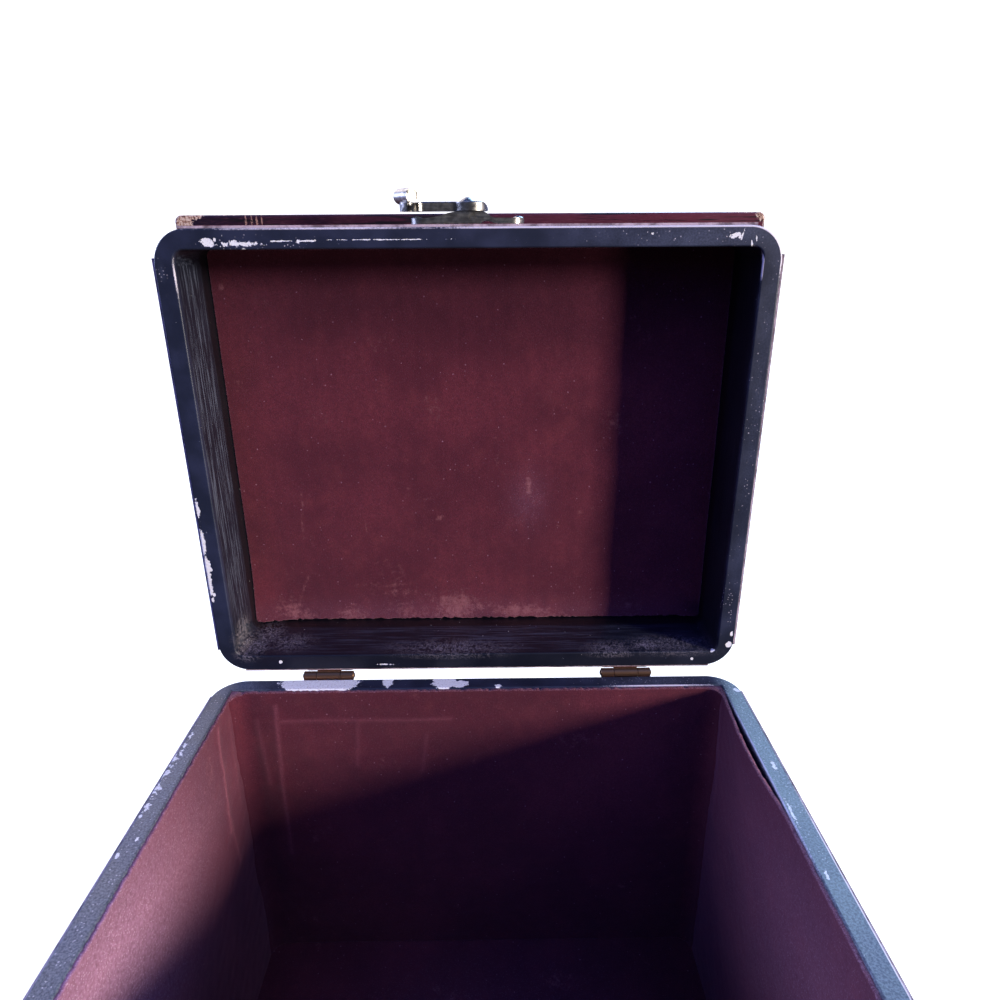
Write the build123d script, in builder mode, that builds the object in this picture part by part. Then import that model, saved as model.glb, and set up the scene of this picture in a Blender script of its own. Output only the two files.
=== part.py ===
"""Keepsake box with an upright hinged lid and a swing-hook clasp, in millimetres.

X runs to the right, Y from the front (the side with the clasp) to the back (the side with the hinges), Z up.
The origin is the centre of the bottom board's underside. The lid is modelled open at 90 degrees, as it rests
against the stop lugs of its two hinges; the hook points to the left, swung off the keeper.
"""

import os

from build123d import *

# Case: the wooden body and the lid share one outline
WIDTH = 250.0  # outside the left and right walls
DEPTH = 202.0  # outside the front and back walls
WALL = 8.0
CORNER_RADIUS = 14.0  # outside corner of the posts
RIM_ROUND = 0.8  # worn edge along both rims
BOTTOM_THICK = 8.0
BODY_HEIGHT = 176.0  # bottom board's underside to the body's rim
LID_SIDE = 35.2  # height of the lid's rails
LID_CORNER_INSIDE = 4.0  # inside corner of the lid's posts
TOP_THICK = 7.0
OVERHANG_SIDE = 4.0  # bottom and top boards past the walls
OVERHANG_FRONT = 6.0
BOARD_CORNER = 3.0  # plan corner of the bottom and top boards
BOARD_ROUND = 1.2  # edges of the bottom and top boards
SEAM = 0.3  # gap between the rims when the lid is shut

# Panels glued on the outside, and the lining inside
PANEL = 1.0
PANEL_SETBACK = 1.2  # from the rims and boards
PANEL_INSET = 11.0  # from the case's corners, so that each panel laps onto the posts
TOP_PANEL_MARGIN = 9.0  # bare border of the top board around its panel
LINING = 1.5
LINING_DROP = 1.0  # below the body's rim
LINING_FIT = 0.1  # play of the lining against the next piece
LID_LINING = 1.2

# Hinges: two leaves of sheet, three knuckles and a pin each
HINGE_INSET = 52.0  # from the case's side to each hinge's middle
HINGE_WIDTH = 24.0
LEAF = 1.0
LEAF_LENGTH = 15.0  # from the pin's axis to the leaf's end
LEAF_CORNER = 2.0
KNUCKLE_RADIUS = 2.2
KNUCKLE_AIR = 0.3  # beside each knuckle and under the middle one
KNUCKLE_SHARE = 6.0  # length of each outer knuckle
PIN_RADIUS = 1.0
PIN_PLAY = 0.05
PIN_HEAD_RADIUS = 1.6
PIN_HEAD = 0.8
PIN_OUT = 2.3  # from the back panel's face to the pin's axis
LUG_THICK = 1.6  # stop lug under the middle knuckle
LUG_REACH = 4.5  # from the pin's axis to the lug's tip
LUG_AIR = 0.3
SCREW_RADIUS = 1.1
SCREW_HEAD_RADIUS = 2.2
SCREW_LENGTH = 7.5
SCREW_SPREAD = 7.0  # from the hinge's middle to each screw
SCREW_PLACE = 9.5  # from the pin's axis to the screws

# Clasp: saddle plate, rivet and hook on the lid, keeper on the body
CLASP_X = -0.5
PIVOT_UP = 7.0  # from the lid's rim to the rivet
SADDLE_LENGTH = 45.0
SADDLE_WIDTH = 10.0
SADDLE_SHEET = 2.2  # thickness at both ends
SADDLE_RISE = 4.6  # panel's face to the top of the crown
SADDLE_RAMP = 17.0  # from the rivet to the foot of the long slope, on the left
SADDLE_BACK = 2.6  # from the rivet to the top of the long slope
SADDLE_CROWN = 5.4  # from the rivet to the right end of the flat crown
SADDLE_FOOT = 11.5  # from the rivet to the foot of the short slope
ARCH_LEFT = 5.0  # hollow under the short slope, from the rivet
ARCH_RIGHT = 10.8
ARCH_RISE = 1.2
TACK_RADIUS = 0.9
TACK_HEAD_RADIUS = 2.2
TACK_HEAD = 0.8
TACK_LENGTH = 6.0  # below the plate's face
TACK_INSET = 2.3  # from the saddle's end to the tack
RIVET_RADIUS = 1.6
RIVET_PLAY = 0.05
RIVET_HEAD_RADIUS = 2.9
RIVET_HEAD = 1.5
RIVET_TAIL_RADIUS = 2.6
RIVET_TAIL = 0.8
HOOK_AIR = 0.2  # hook to the crown below it and to the rivet's head above it
HOOK_THICK = 3.4
HOOK_TAIL_RADIUS = 6.8
HOOK_TAIL_OUT = 1.4  # from the rivet to the tail's middle
HOOK_TAIL_ROUND = 3.0  # where the tail's outer face turns down
HOOK_ARM_WIDTH = 7.6
HOOK_REACH = 21.5  # from the rivet to the keeper's stud
HOOK_HEAD_RADIUS = 5.3
HOOK_EDGE = 0.6  # rounding of the arm's outer face
SLOT_TURN = 40.0  # degrees of the stud's way out that are cut free
ROLL_RADIUS = 2.95  # the finger piece, a short roll across the arm's end
ROLL_LENGTH = 10.2
ROLL_TURN = 39.0  # from straight across the arm
ROLL_OUT = 2.8  # from the stud's place to the roll's middle
ROLL_SINK = 0.8  # into the arm
ROLL_LIP = 0.7  # left standing round the dished near end
ROLL_DISH = 0.4
ROLL_EDGE = 1.1  # rounding of the far end
STUD_RADIUS = 2.0
STUD_PLAY = 0.3
STUD_RISE = 7.4  # panel's face to the stud's top
STUD_COLLAR_RADIUS = 3.2
STUD_COLLAR_AIR = 0.3  # collar to the hook above it
KEEPER_WIDTH = 18.0
KEEPER_HEIGHT = 10.0
KEEPER_TACK_SPREAD = 6.2

# Worked out from the sizes above
HALF_W = WIDTH / 2
HALF_D = DEPTH / 2
HINGE_X = HALF_W - HINGE_INSET
PIN_Y = HALF_D + PANEL + PIN_OUT
POST = CORNER_RADIUS  # the walls stop where the posts begin
HOOK_LOW = SADDLE_RISE + HOOK_AIR
KEEPER_Z = BODY_HEIGHT + SEAM + PIVOT_UP - HOOK_REACH

# Each frame's own X is the box's width, Y its depth (front to back) and Z the way from the seam to the outside
# board. The lid's frame has been turned back by 90 degrees about the pins.
BODY = Plane.XY
LID = Plane(origin=(0, PIN_Y + SEAM, BODY_HEIGHT + PIN_Y), x_dir=(1, 0, 0), z_dir=(0, 1, 0))


def back_of(frame, out=0.0):
    """Plane on the frame's back wall, facing outwards: its Y is the frame's Z, its X runs to the left."""
    origin = frame.from_local_coords((0, HALF_D + out, 0))
    return Plane(origin=origin, x_dir=-frame.x_dir, z_dir=frame.y_dir)


def front_of(frame, out=0.0):
    """Plane on the frame's front wall, facing outwards: its Y is the frame's Z, its X runs to the right."""
    origin = frame.from_local_coords((0, -HALF_D - out, 0))
    return Plane(origin=origin, x_dir=frame.x_dir, z_dir=-frame.y_dir)


def span(low, high):
    """Middle and length of a stretch."""
    return (low + high) / 2, high - low


def board(frame, x, y, z, corner=0.0):
    """Adds a board to the active part: x, y and z are (low, high) along the frame's own directions."""
    (mid_x, size_x), (mid_y, size_y) = span(*x), span(*y)
    with BuildSketch(frame.offset(z[0])) as outline:
        with Locations((mid_x, mid_y)):
            if corner:
                RectangleRounded(size_x, size_y, corner)
            else:
                Rectangle(size_x, size_y)
    extrude(outline.sketch, amount=z[1] - z[0])


def drum(plane, points, radius, low, high, mode=Mode.ADD):
    """Adds or cuts a cylinder at each point of a plane, from low to high along its normal."""
    with BuildSketch(plane.offset(low)) as rounds:
        with Locations(*points):
            Circle(radius)
    extrude(rounds.sketch, amount=high - low, mode=mode)


def dome(plane, points, radius, height, low):
    """Adds a flat-bottomed domed head at each point of a plane, its flat at low along the normal."""
    bulge = (radius * radius + height * height) / (2 * height)
    for x, y in points:
        foot = plane.from_local_coords((x, y, low))
        with BuildSketch(Plane(origin=foot, x_dir=plane.x_dir, z_dir=-plane.y_dir)) as half:
            with BuildLine():
                Line((0, 0), (radius, 0))
                RadiusArc((radius, 0), (0, height), -bulge)
                Line((0, height), (0, 0))
            make_face()
        revolve(half.sketch, axis=Axis(foot, plane.z_dir))


def posts(frame, low, high, inside):
    """Adds the four corner posts: round outside, and inside square, or round with a radius."""
    for side_x in (-1, 1):
        for side_y in (-1, 1):
            with BuildSketch(frame.offset(low)) as outline:
                with Locations((side_x * (HALF_W - POST), side_y * (HALF_D - POST))):
                    Circle(CORNER_RADIUS)
                with Locations((side_x * (HALF_W - POST / 2), side_y * (HALF_D - POST / 2))):
                    Rectangle(POST, POST, mode=Mode.INTERSECT)
                if inside:
                    RectangleRounded(WIDTH - 2 * WALL, DEPTH - 2 * WALL, inside, mode=Mode.SUBTRACT)
                else:
                    Rectangle(WIDTH - 2 * WALL, DEPTH - 2 * WALL, mode=Mode.SUBTRACT)
            extrude(outline.sketch, amount=high - low)


def wear(piece, frame, height):
    """Rounds the edges of a wall or post that run along the rim, but not those of its glued joints."""
    rim = frame.offset(height)
    edges = []
    for edge in piece.edges():
        start, middle, end = (rim.to_local_coords(edge @ t) for t in (0, 0.5, 1))
        glued_x = abs(abs(middle.X) - (HALF_W - POST)) < 0.01 and abs(start.X - end.X) < 0.01
        glued_y = abs(abs(middle.Y) - (HALF_D - POST)) < 0.01 and abs(start.Y - end.Y) < 0.01
        if max(abs(start.Z), abs(middle.Z), abs(end.Z)) < 0.001 and not glued_x and not glued_y:
            edges.append(edge)
    fillet(edges, RIM_ROUND)


def soften(piece, frame, heights):
    """Rounds the outline edges of an outside board at the given heights of its frame."""
    edges = [
        edge
        for edge in piece.edges()
        if any(
            max(abs(frame.to_local_coords(edge @ t).Z - height) for t in (0, 0.5, 1)) < 0.001
            for height in heights
        )
    ]
    fillet(edges, BOARD_ROUND)


# Stretches that the pieces share
WALL_Z = (BOTTOM_THICK, BODY_HEIGHT)
RAIL_Z = (0.0, LID_SIDE)
ACROSS = (-HALF_W + POST, HALF_W - POST)  # walls at the front and back, between the posts
ALONG = (-HALF_D + POST, HALF_D - POST)  # walls at the sides, between the posts
FRONT_Y, BACK_Y = (-HALF_D, -HALF_D + WALL), (HALF_D - WALL, HALF_D)
LEFT_X, RIGHT_X = (-HALF_W, -HALF_W + WALL), (HALF_W - WALL, HALF_W)
BOARD_X = (-HALF_W - OVERHANG_SIDE, HALF_W + OVERHANG_SIDE)
BOARD_Y = (-HALF_D - OVERHANG_FRONT, HALF_D + OVERHANG_SIDE)
PANEL_FRONT_Y, PANEL_BACK_Y = (-HALF_D - PANEL, -HALF_D), (HALF_D, HALF_D + PANEL)
PANEL_LEFT_X, PANEL_RIGHT_X = (-HALF_W - PANEL, -HALF_W), (HALF_W, HALF_W + PANEL)
PANEL_ACROSS = (-HALF_W + PANEL_INSET, HALF_W - PANEL_INSET)
PANEL_ALONG = (-HALF_D + PANEL_INSET, HALF_D - PANEL_INSET)
BODY_PANEL_Z = (BOTTOM_THICK + PANEL_SETBACK, BODY_HEIGHT - PANEL_SETBACK)
LID_PANEL_Z = (PANEL_SETBACK, LID_SIDE - PANEL_SETBACK)

# Where the fastenings sit on each wall, as (x, height) in the wall's outward plane
SCREW_X = [side * HINGE_X + step for side in (-1, 1) for step in (-SCREW_SPREAD, SCREW_SPREAD)]
BODY_SCREWS = [(x, BODY_HEIGHT - SCREW_PLACE) for x in SCREW_X]
LID_SCREWS = [(x, SCREW_PLACE - SEAM) for x in SCREW_X]
SCREW_DEEP = SCREW_LENGTH - LEAF - PANEL  # in the wall
TACK_DEEP = TACK_LENGTH - SADDLE_SHEET - PANEL  # in the wall
PIVOT = (CLASP_X, PIVOT_UP)
TACK_SPREAD = SADDLE_LENGTH / 2 - TACK_INSET
SADDLE_TACKS = [(CLASP_X + side * TACK_SPREAD, PIVOT_UP) for side in (-1, 1)]
KEEPER = (CLASP_X, KEEPER_Z)
KEEPER_TACKS = [(CLASP_X + side * KEEPER_TACK_SPREAD, KEEPER_Z) for side in (-1, 1)]


# Body: the wooden case
with BuildPart() as box_bottom_board:
    board(BODY, BOARD_X, BOARD_Y, (0, BOTTOM_THICK), BOARD_CORNER)
    soften(box_bottom_board, BODY, (0, BOTTOM_THICK))

with BuildPart() as box_front_wall:
    board(BODY, ACROSS, FRONT_Y, WALL_Z)
    wear(box_front_wall, BODY, BODY_HEIGHT)
    drum(front_of(BODY), KEEPER_TACKS, TACK_RADIUS, -TACK_DEEP, 0, Mode.SUBTRACT)

with BuildPart() as box_back_wall:
    board(BODY, ACROSS, BACK_Y, WALL_Z)
    wear(box_back_wall, BODY, BODY_HEIGHT)
    drum(back_of(BODY), BODY_SCREWS, SCREW_RADIUS, -SCREW_DEEP, 0, Mode.SUBTRACT)

with BuildPart() as box_left_wall:
    board(BODY, LEFT_X, ALONG, WALL_Z)
    wear(box_left_wall, BODY, BODY_HEIGHT)

with BuildPart() as box_right_wall:
    board(BODY, RIGHT_X, ALONG, WALL_Z)
    wear(box_right_wall, BODY, BODY_HEIGHT)

with BuildPart() as box_corner_posts:
    posts(BODY, *WALL_Z, inside=0)
    wear(box_corner_posts, BODY, BODY_HEIGHT)

# Body: thin panels glued between the posts
with BuildPart() as box_front_panel:
    board(BODY, PANEL_ACROSS, PANEL_FRONT_Y, BODY_PANEL_Z)
    drum(front_of(BODY), KEEPER_TACKS, TACK_RADIUS, 0, PANEL, Mode.SUBTRACT)

with BuildPart() as box_back_panel:
    board(BODY, PANEL_ACROSS, PANEL_BACK_Y, BODY_PANEL_Z)
    drum(back_of(BODY), BODY_SCREWS, SCREW_RADIUS, 0, PANEL, Mode.SUBTRACT)

with BuildPart() as box_left_panel:
    board(BODY, PANEL_LEFT_X, PANEL_ALONG, BODY_PANEL_Z)

with BuildPart() as box_right_panel:
    board(BODY, PANEL_RIGHT_X, PANEL_ALONG, BODY_PANEL_Z)

# Body: lining, the floor first, then the front and back, and the sides between those two
IN_W, IN_D = HALF_W - WALL, HALF_D - WALL
LINING_Z = (BOTTOM_THICK + LINING + LINING_FIT, BODY_HEIGHT - LINING_DROP)
SIDE_LINING_Y = (-IN_D + LINING + LINING_FIT, IN_D - LINING - LINING_FIT)

with BuildPart() as box_floor_lining:
    board(
        BODY,
        (-IN_W + LINING_FIT, IN_W - LINING_FIT),
        (-IN_D + LINING_FIT, IN_D - LINING_FIT),
        (BOTTOM_THICK, BOTTOM_THICK + LINING),
    )

with BuildPart() as box_front_lining:
    board(BODY, (-IN_W + LINING_FIT, IN_W - LINING_FIT), (-IN_D, -IN_D + LINING), LINING_Z)

with BuildPart() as box_back_lining:
    board(BODY, (-IN_W + LINING_FIT, IN_W - LINING_FIT), (IN_D - LINING, IN_D), LINING_Z)

with BuildPart() as box_left_lining:
    board(BODY, (-IN_W, -IN_W + LINING), SIDE_LINING_Y, LINING_Z)

with BuildPart() as box_right_lining:
    board(BODY, (IN_W - LINING, IN_W), SIDE_LINING_Y, LINING_Z)

# Body: keeper on the front. The stud stands on a collar that ends just under the latched hook.
KEEPER_FACE = front_of(BODY, PANEL)

with BuildPart() as keeper_plate:
    with BuildSketch(KEEPER_FACE) as outline:
        with Locations(KEEPER):
            SlotOverall(KEEPER_WIDTH, KEEPER_HEIGHT)
    extrude(outline.sketch, amount=SADDLE_SHEET)
    drum(KEEPER_FACE, KEEPER_TACKS, TACK_RADIUS, 0, SADDLE_SHEET, Mode.SUBTRACT)

with BuildPart() as keeper_stud:
    drum(KEEPER_FACE, [KEEPER], STUD_COLLAR_RADIUS, SADDLE_SHEET, HOOK_LOW - STUD_COLLAR_AIR)
    drum(KEEPER_FACE, [KEEPER], STUD_RADIUS, HOOK_LOW - STUD_COLLAR_AIR, STUD_RISE)
    fillet(keeper_stud.edges().group_by(Axis.Y)[0], STUD_RADIUS / 3)

with BuildPart() as keeper_tacks:
    drum(KEEPER_FACE, KEEPER_TACKS, TACK_RADIUS, SADDLE_SHEET - TACK_LENGTH, SADDLE_SHEET)
    dome(KEEPER_FACE, KEEPER_TACKS, TACK_HEAD_RADIUS, TACK_HEAD, SADDLE_SHEET)

# Hinges, left and right. Each leaf is sheet screwed to a back panel, with knuckles rolled around the pin.
PIN_LINE = Plane(origin=(0, PIN_Y, BODY_HEIGHT), x_dir=(0, 1, 0), z_dir=(1, 0, 0))
MIDDLE_KNUCKLE = HINGE_WIDTH / 2 - KNUCKLE_SHARE - KNUCKLE_AIR
LEAF_CLEAR = KNUCKLE_RADIUS + KNUCKLE_AIR


def knuckle(middle, low, high):
    """Adds one knuckle around the pin's line, low and high measured from the hinge's middle."""
    drum(PIN_LINE, [(0, 0)], KNUCKLE_RADIUS, middle + low, middle + high)


def pin_hole(middle):
    """Cuts the running hole for the pin through all of a leaf's knuckles."""
    reach = HINGE_WIDTH / 2
    drum(PIN_LINE, [(0, 0)], PIN_RADIUS + PIN_PLAY, middle - reach, middle + reach, Mode.SUBTRACT)


def leaf_sheet(face, middle, pin_height, up):
    """Adds a leaf's sheet and its ears to the knuckles.

    The face is the panel's outward plane, and pin_height the pin's height in it. up is -1 on the body, whose
    leaf hangs under the pin and has an ear at each end, and 1 on the lid, whose leaf has one in the middle.
    """
    far, near = pin_height + up * LEAF_LENGTH, pin_height + up * LEAF_CLEAR
    mid, tall = span(min(far, near), max(far, near))
    with BuildSketch(face) as sheet:
        with Locations((middle, mid)):
            RectangleRounded(HINGE_WIDTH, tall, LEAF_CORNER)
        ear_mid, ear_tall = span(*sorted((near + up * LEAF_CORNER * 2, pin_height + up * KNUCKLE_RADIUS / 2)))
        if up < 0:
            for side in (-1, 1):
                with Locations((middle + side * (HINGE_WIDTH - KNUCKLE_SHARE) / 2, ear_mid)):
                    Rectangle(KNUCKLE_SHARE, ear_tall)
        else:
            with Locations((middle, ear_mid)):
                Rectangle(2 * MIDDLE_KNUCKLE, ear_tall)
    extrude(sheet.sketch, amount=LEAF)


def box_leaf(middle):
    """Fills the active part with the body's leaf of a hinge: sheet, two outer knuckles and screw holes."""
    # the outward plane's X runs to the left
    leaf_sheet(back_of(BODY, PANEL), -middle, BODY_HEIGHT, -1)
    for low in (-HINGE_WIDTH / 2, HINGE_WIDTH / 2 - KNUCKLE_SHARE):
        knuckle(middle, low, low + KNUCKLE_SHARE)
    pin_hole(middle)
    screws = [(x, z) for x, z in BODY_SCREWS if abs(x + middle) < HINGE_WIDTH]
    drum(back_of(BODY, PANEL), screws, SCREW_RADIUS, 0, LEAF, Mode.SUBTRACT)


def lid_leaf(middle):
    """Fills the active part with the lid's leaf: sheet, middle knuckle, screw holes and the stop lug.

    With the lid upright the lug hangs under the pin and bears on the outside of the body's leaf.
    """
    leaf_sheet(back_of(LID, PANEL), -middle, -SEAM, 1)
    knuckle(middle, -MIDDLE_KNUCKLE, MIDDLE_KNUCKLE)
    lug_face = HALF_D + PANEL + LEAF + LUG_AIR
    board(
        BODY,
        (middle - MIDDLE_KNUCKLE, middle + MIDDLE_KNUCKLE),
        (lug_face, lug_face + LUG_THICK),
        (BODY_HEIGHT - LUG_REACH, BODY_HEIGHT - KNUCKLE_RADIUS / 2),
    )
    pin_hole(middle)
    screws = [(x, z) for x, z in LID_SCREWS if abs(x + middle) < HINGE_WIDTH]
    drum(back_of(LID, PANEL), screws, SCREW_RADIUS, 0, LEAF, Mode.SUBTRACT)


def hinge_pin(middle):
    """Fills the active part with a pin and its two domed ends."""
    reach = HINGE_WIDTH / 2
    drum(PIN_LINE, [(0, 0)], PIN_RADIUS, middle - reach, middle + reach)
    dome(PIN_LINE, [(0, 0)], PIN_HEAD_RADIUS, PIN_HEAD, middle + reach)
    other_way = Plane(origin=PIN_LINE.origin, x_dir=-PIN_LINE.x_dir, z_dir=-PIN_LINE.z_dir)
    dome(other_way, [(0, 0)], PIN_HEAD_RADIUS, PIN_HEAD, -middle + reach)


with BuildPart() as left_hinge_box_leaf:
    box_leaf(-HINGE_X)

with BuildPart() as right_hinge_box_leaf:
    box_leaf(HINGE_X)

with BuildPart() as left_hinge_pin:
    hinge_pin(-HINGE_X)

with BuildPart() as right_hinge_pin:
    hinge_pin(HINGE_X)

with BuildPart() as hinge_box_screws:
    drum(back_of(BODY, PANEL), BODY_SCREWS, SCREW_RADIUS, LEAF - SCREW_LENGTH, LEAF)
    dome(back_of(BODY, PANEL), BODY_SCREWS, SCREW_HEAD_RADIUS, SCREW_RADIUS, LEAF)

with BuildPart() as left_hinge_lid_leaf:
    lid_leaf(-HINGE_X)

with BuildPart() as right_hinge_lid_leaf:
    lid_leaf(HINGE_X)

with BuildPart() as hinge_lid_screws:
    drum(back_of(LID, PANEL), LID_SCREWS, SCREW_RADIUS, LEAF - SCREW_LENGTH, LEAF)
    dome(back_of(LID, PANEL), LID_SCREWS, SCREW_HEAD_RADIUS, SCREW_RADIUS, LEAF)

# Lid: rails and posts, the overhanging top board, panels and lining
with BuildPart() as lid_front_rail:
    board(LID, ACROSS, FRONT_Y, RAIL_Z)
    wear(lid_front_rail, LID, 0)
    drum(front_of(LID), SADDLE_TACKS, TACK_RADIUS, -TACK_DEEP, 0, Mode.SUBTRACT)

with BuildPart() as lid_back_rail:
    board(LID, ACROSS, BACK_Y, RAIL_Z)
    wear(lid_back_rail, LID, 0)
    drum(back_of(LID), LID_SCREWS, SCREW_RADIUS, -SCREW_DEEP, 0, Mode.SUBTRACT)

with BuildPart() as lid_left_rail:
    board(LID, LEFT_X, ALONG, RAIL_Z)
    wear(lid_left_rail, LID, 0)

with BuildPart() as lid_right_rail:
    board(LID, RIGHT_X, ALONG, RAIL_Z)
    wear(lid_right_rail, LID, 0)

with BuildPart() as lid_corner_posts:
    posts(LID, *RAIL_Z, inside=LID_CORNER_INSIDE)
    wear(lid_corner_posts, LID, 0)

with BuildPart() as lid_top_board:
    board(LID, BOARD_X, BOARD_Y, (LID_SIDE, LID_SIDE + TOP_THICK), BOARD_CORNER)
    soften(lid_top_board, LID, (LID_SIDE, LID_SIDE + TOP_THICK))

with BuildPart() as lid_top_panel:
    board(
        LID,
        (BOARD_X[0] + TOP_PANEL_MARGIN, BOARD_X[1] - TOP_PANEL_MARGIN),
        (BOARD_Y[0] + TOP_PANEL_MARGIN, BOARD_Y[1] - TOP_PANEL_MARGIN),
        (LID_SIDE + TOP_THICK, LID_SIDE + TOP_THICK + PANEL),
        BOARD_CORNER,
    )

with BuildPart() as lid_front_panel:
    board(LID, PANEL_ACROSS, PANEL_FRONT_Y, LID_PANEL_Z)
    drum(front_of(LID), SADDLE_TACKS, TACK_RADIUS, 0, PANEL, Mode.SUBTRACT)

with BuildPart() as lid_back_panel:
    board(LID, PANEL_ACROSS, PANEL_BACK_Y, LID_PANEL_Z)
    drum(back_of(LID), LID_SCREWS, SCREW_RADIUS, 0, PANEL, Mode.SUBTRACT)

with BuildPart() as lid_left_panel:
    board(LID, PANEL_LEFT_X, PANEL_ALONG, LID_PANEL_Z)

with BuildPart() as lid_right_panel:
    board(LID, PANEL_RIGHT_X, PANEL_ALONG, LID_PANEL_Z)

with BuildPart() as lid_lining:
    board(
        LID,
        (-IN_W + LINING_FIT, IN_W - LINING_FIT),
        (-IN_D + LINING_FIT, IN_D - LINING_FIT),
        (LID_SIDE - LID_LINING, LID_SIDE),
        LID_CORNER_INSIDE,
    )

# Clasp on the lid's front: a cast saddle, tacked down at both ends, with the rivet on its crown
CLASP_FACE = front_of(LID, PANEL)
SADDLE_SIDE = Plane(
    origin=CLASP_FACE.from_local_coords((CLASP_X, PIVOT_UP - SADDLE_WIDTH / 2, 0)),
    x_dir=CLASP_FACE.x_dir,
    z_dir=-CLASP_FACE.y_dir,
)

with BuildPart() as clasp_saddle:
    half = SADDLE_LENGTH / 2
    with BuildSketch(SADDLE_SIDE) as profile:
        with BuildLine():
            Line((-half, 0), (ARCH_LEFT, 0))
            ThreePointArc((ARCH_LEFT, 0), ((ARCH_LEFT + ARCH_RIGHT) / 2, ARCH_RISE), (ARCH_RIGHT, 0))
            Line((ARCH_RIGHT, 0), (half, 0))
            Line((half, 0), (half, SADDLE_SHEET))
            Line((half, SADDLE_SHEET), (SADDLE_FOOT, SADDLE_SHEET))
            Spline((SADDLE_FOOT, SADDLE_SHEET), (SADDLE_CROWN, SADDLE_RISE), tangents=[(-1, 0), (-1, 0)])
            Line((SADDLE_CROWN, SADDLE_RISE), (-SADDLE_BACK, SADDLE_RISE))
            Spline((-SADDLE_BACK, SADDLE_RISE), (-SADDLE_RAMP, SADDLE_SHEET), tangents=[(-1, 0), (-1, 0)])
            Line((-SADDLE_RAMP, SADDLE_SHEET), (-half, SADDLE_SHEET))
            Line((-half, SADDLE_SHEET), (-half, 0))
        make_face()
    extrude(profile.sketch, amount=-SADDLE_WIDTH)
    with BuildSketch(CLASP_FACE) as outline:
        with Locations(PIVOT):
            SlotOverall(SADDLE_LENGTH, SADDLE_WIDTH)
    extrude(outline.sketch, amount=SADDLE_RISE, mode=Mode.INTERSECT)
    drum(CLASP_FACE, SADDLE_TACKS, TACK_RADIUS, 0, SADDLE_SHEET, Mode.SUBTRACT)
    drum(CLASP_FACE, [PIVOT], RIVET_TAIL_RADIUS, 0, RIVET_TAIL, Mode.SUBTRACT)
    drum(CLASP_FACE, [PIVOT], RIVET_RADIUS, 0, SADDLE_RISE, Mode.SUBTRACT)

with BuildPart() as clasp_tacks:
    drum(CLASP_FACE, SADDLE_TACKS, TACK_RADIUS, SADDLE_SHEET - TACK_LENGTH, SADDLE_SHEET)
    dome(CLASP_FACE, SADDLE_TACKS, TACK_HEAD_RADIUS, TACK_HEAD, SADDLE_SHEET)

HOOK_TOP = HOOK_LOW + HOOK_THICK
with BuildPart() as clasp_rivet:
    drum(CLASP_FACE, [PIVOT], RIVET_TAIL_RADIUS, 0, RIVET_TAIL)
    drum(CLASP_FACE, [PIVOT], RIVET_RADIUS, RIVET_TAIL, HOOK_TOP + HOOK_AIR)
    dome(CLASP_FACE, [PIVOT], RIVET_HEAD_RADIUS, RIVET_HEAD, HOOK_TOP + HOOK_AIR)

# Hook: a flat arm to the left, open towards the seam where the stud goes in, with a rolled finger piece
HOOK_FACE = CLASP_FACE.offset(HOOK_LOW)
STUD_GAP = STUD_RADIUS + STUD_PLAY
HOOK_SIDE = Plane(
    origin=HOOK_FACE.from_local_coords((CLASP_X, PIVOT_UP, 0)),
    x_dir=CLASP_FACE.x_dir,
    z_dir=-CLASP_FACE.y_dir,
)
ROLL_AXIS = CLASP_FACE.y_dir.rotate(Axis((0, 0, 0), CLASP_FACE.z_dir), ROLL_TURN)
ROLL_MIDDLE = HOOK_FACE.from_local_coords(
    (CLASP_X - HOOK_REACH - ROLL_OUT, PIVOT_UP, HOOK_THICK + ROLL_RADIUS - ROLL_SINK)
)
ROLL_NEAR = ROLL_MIDDLE - ROLL_AXIS * (ROLL_LENGTH / 2)

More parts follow.
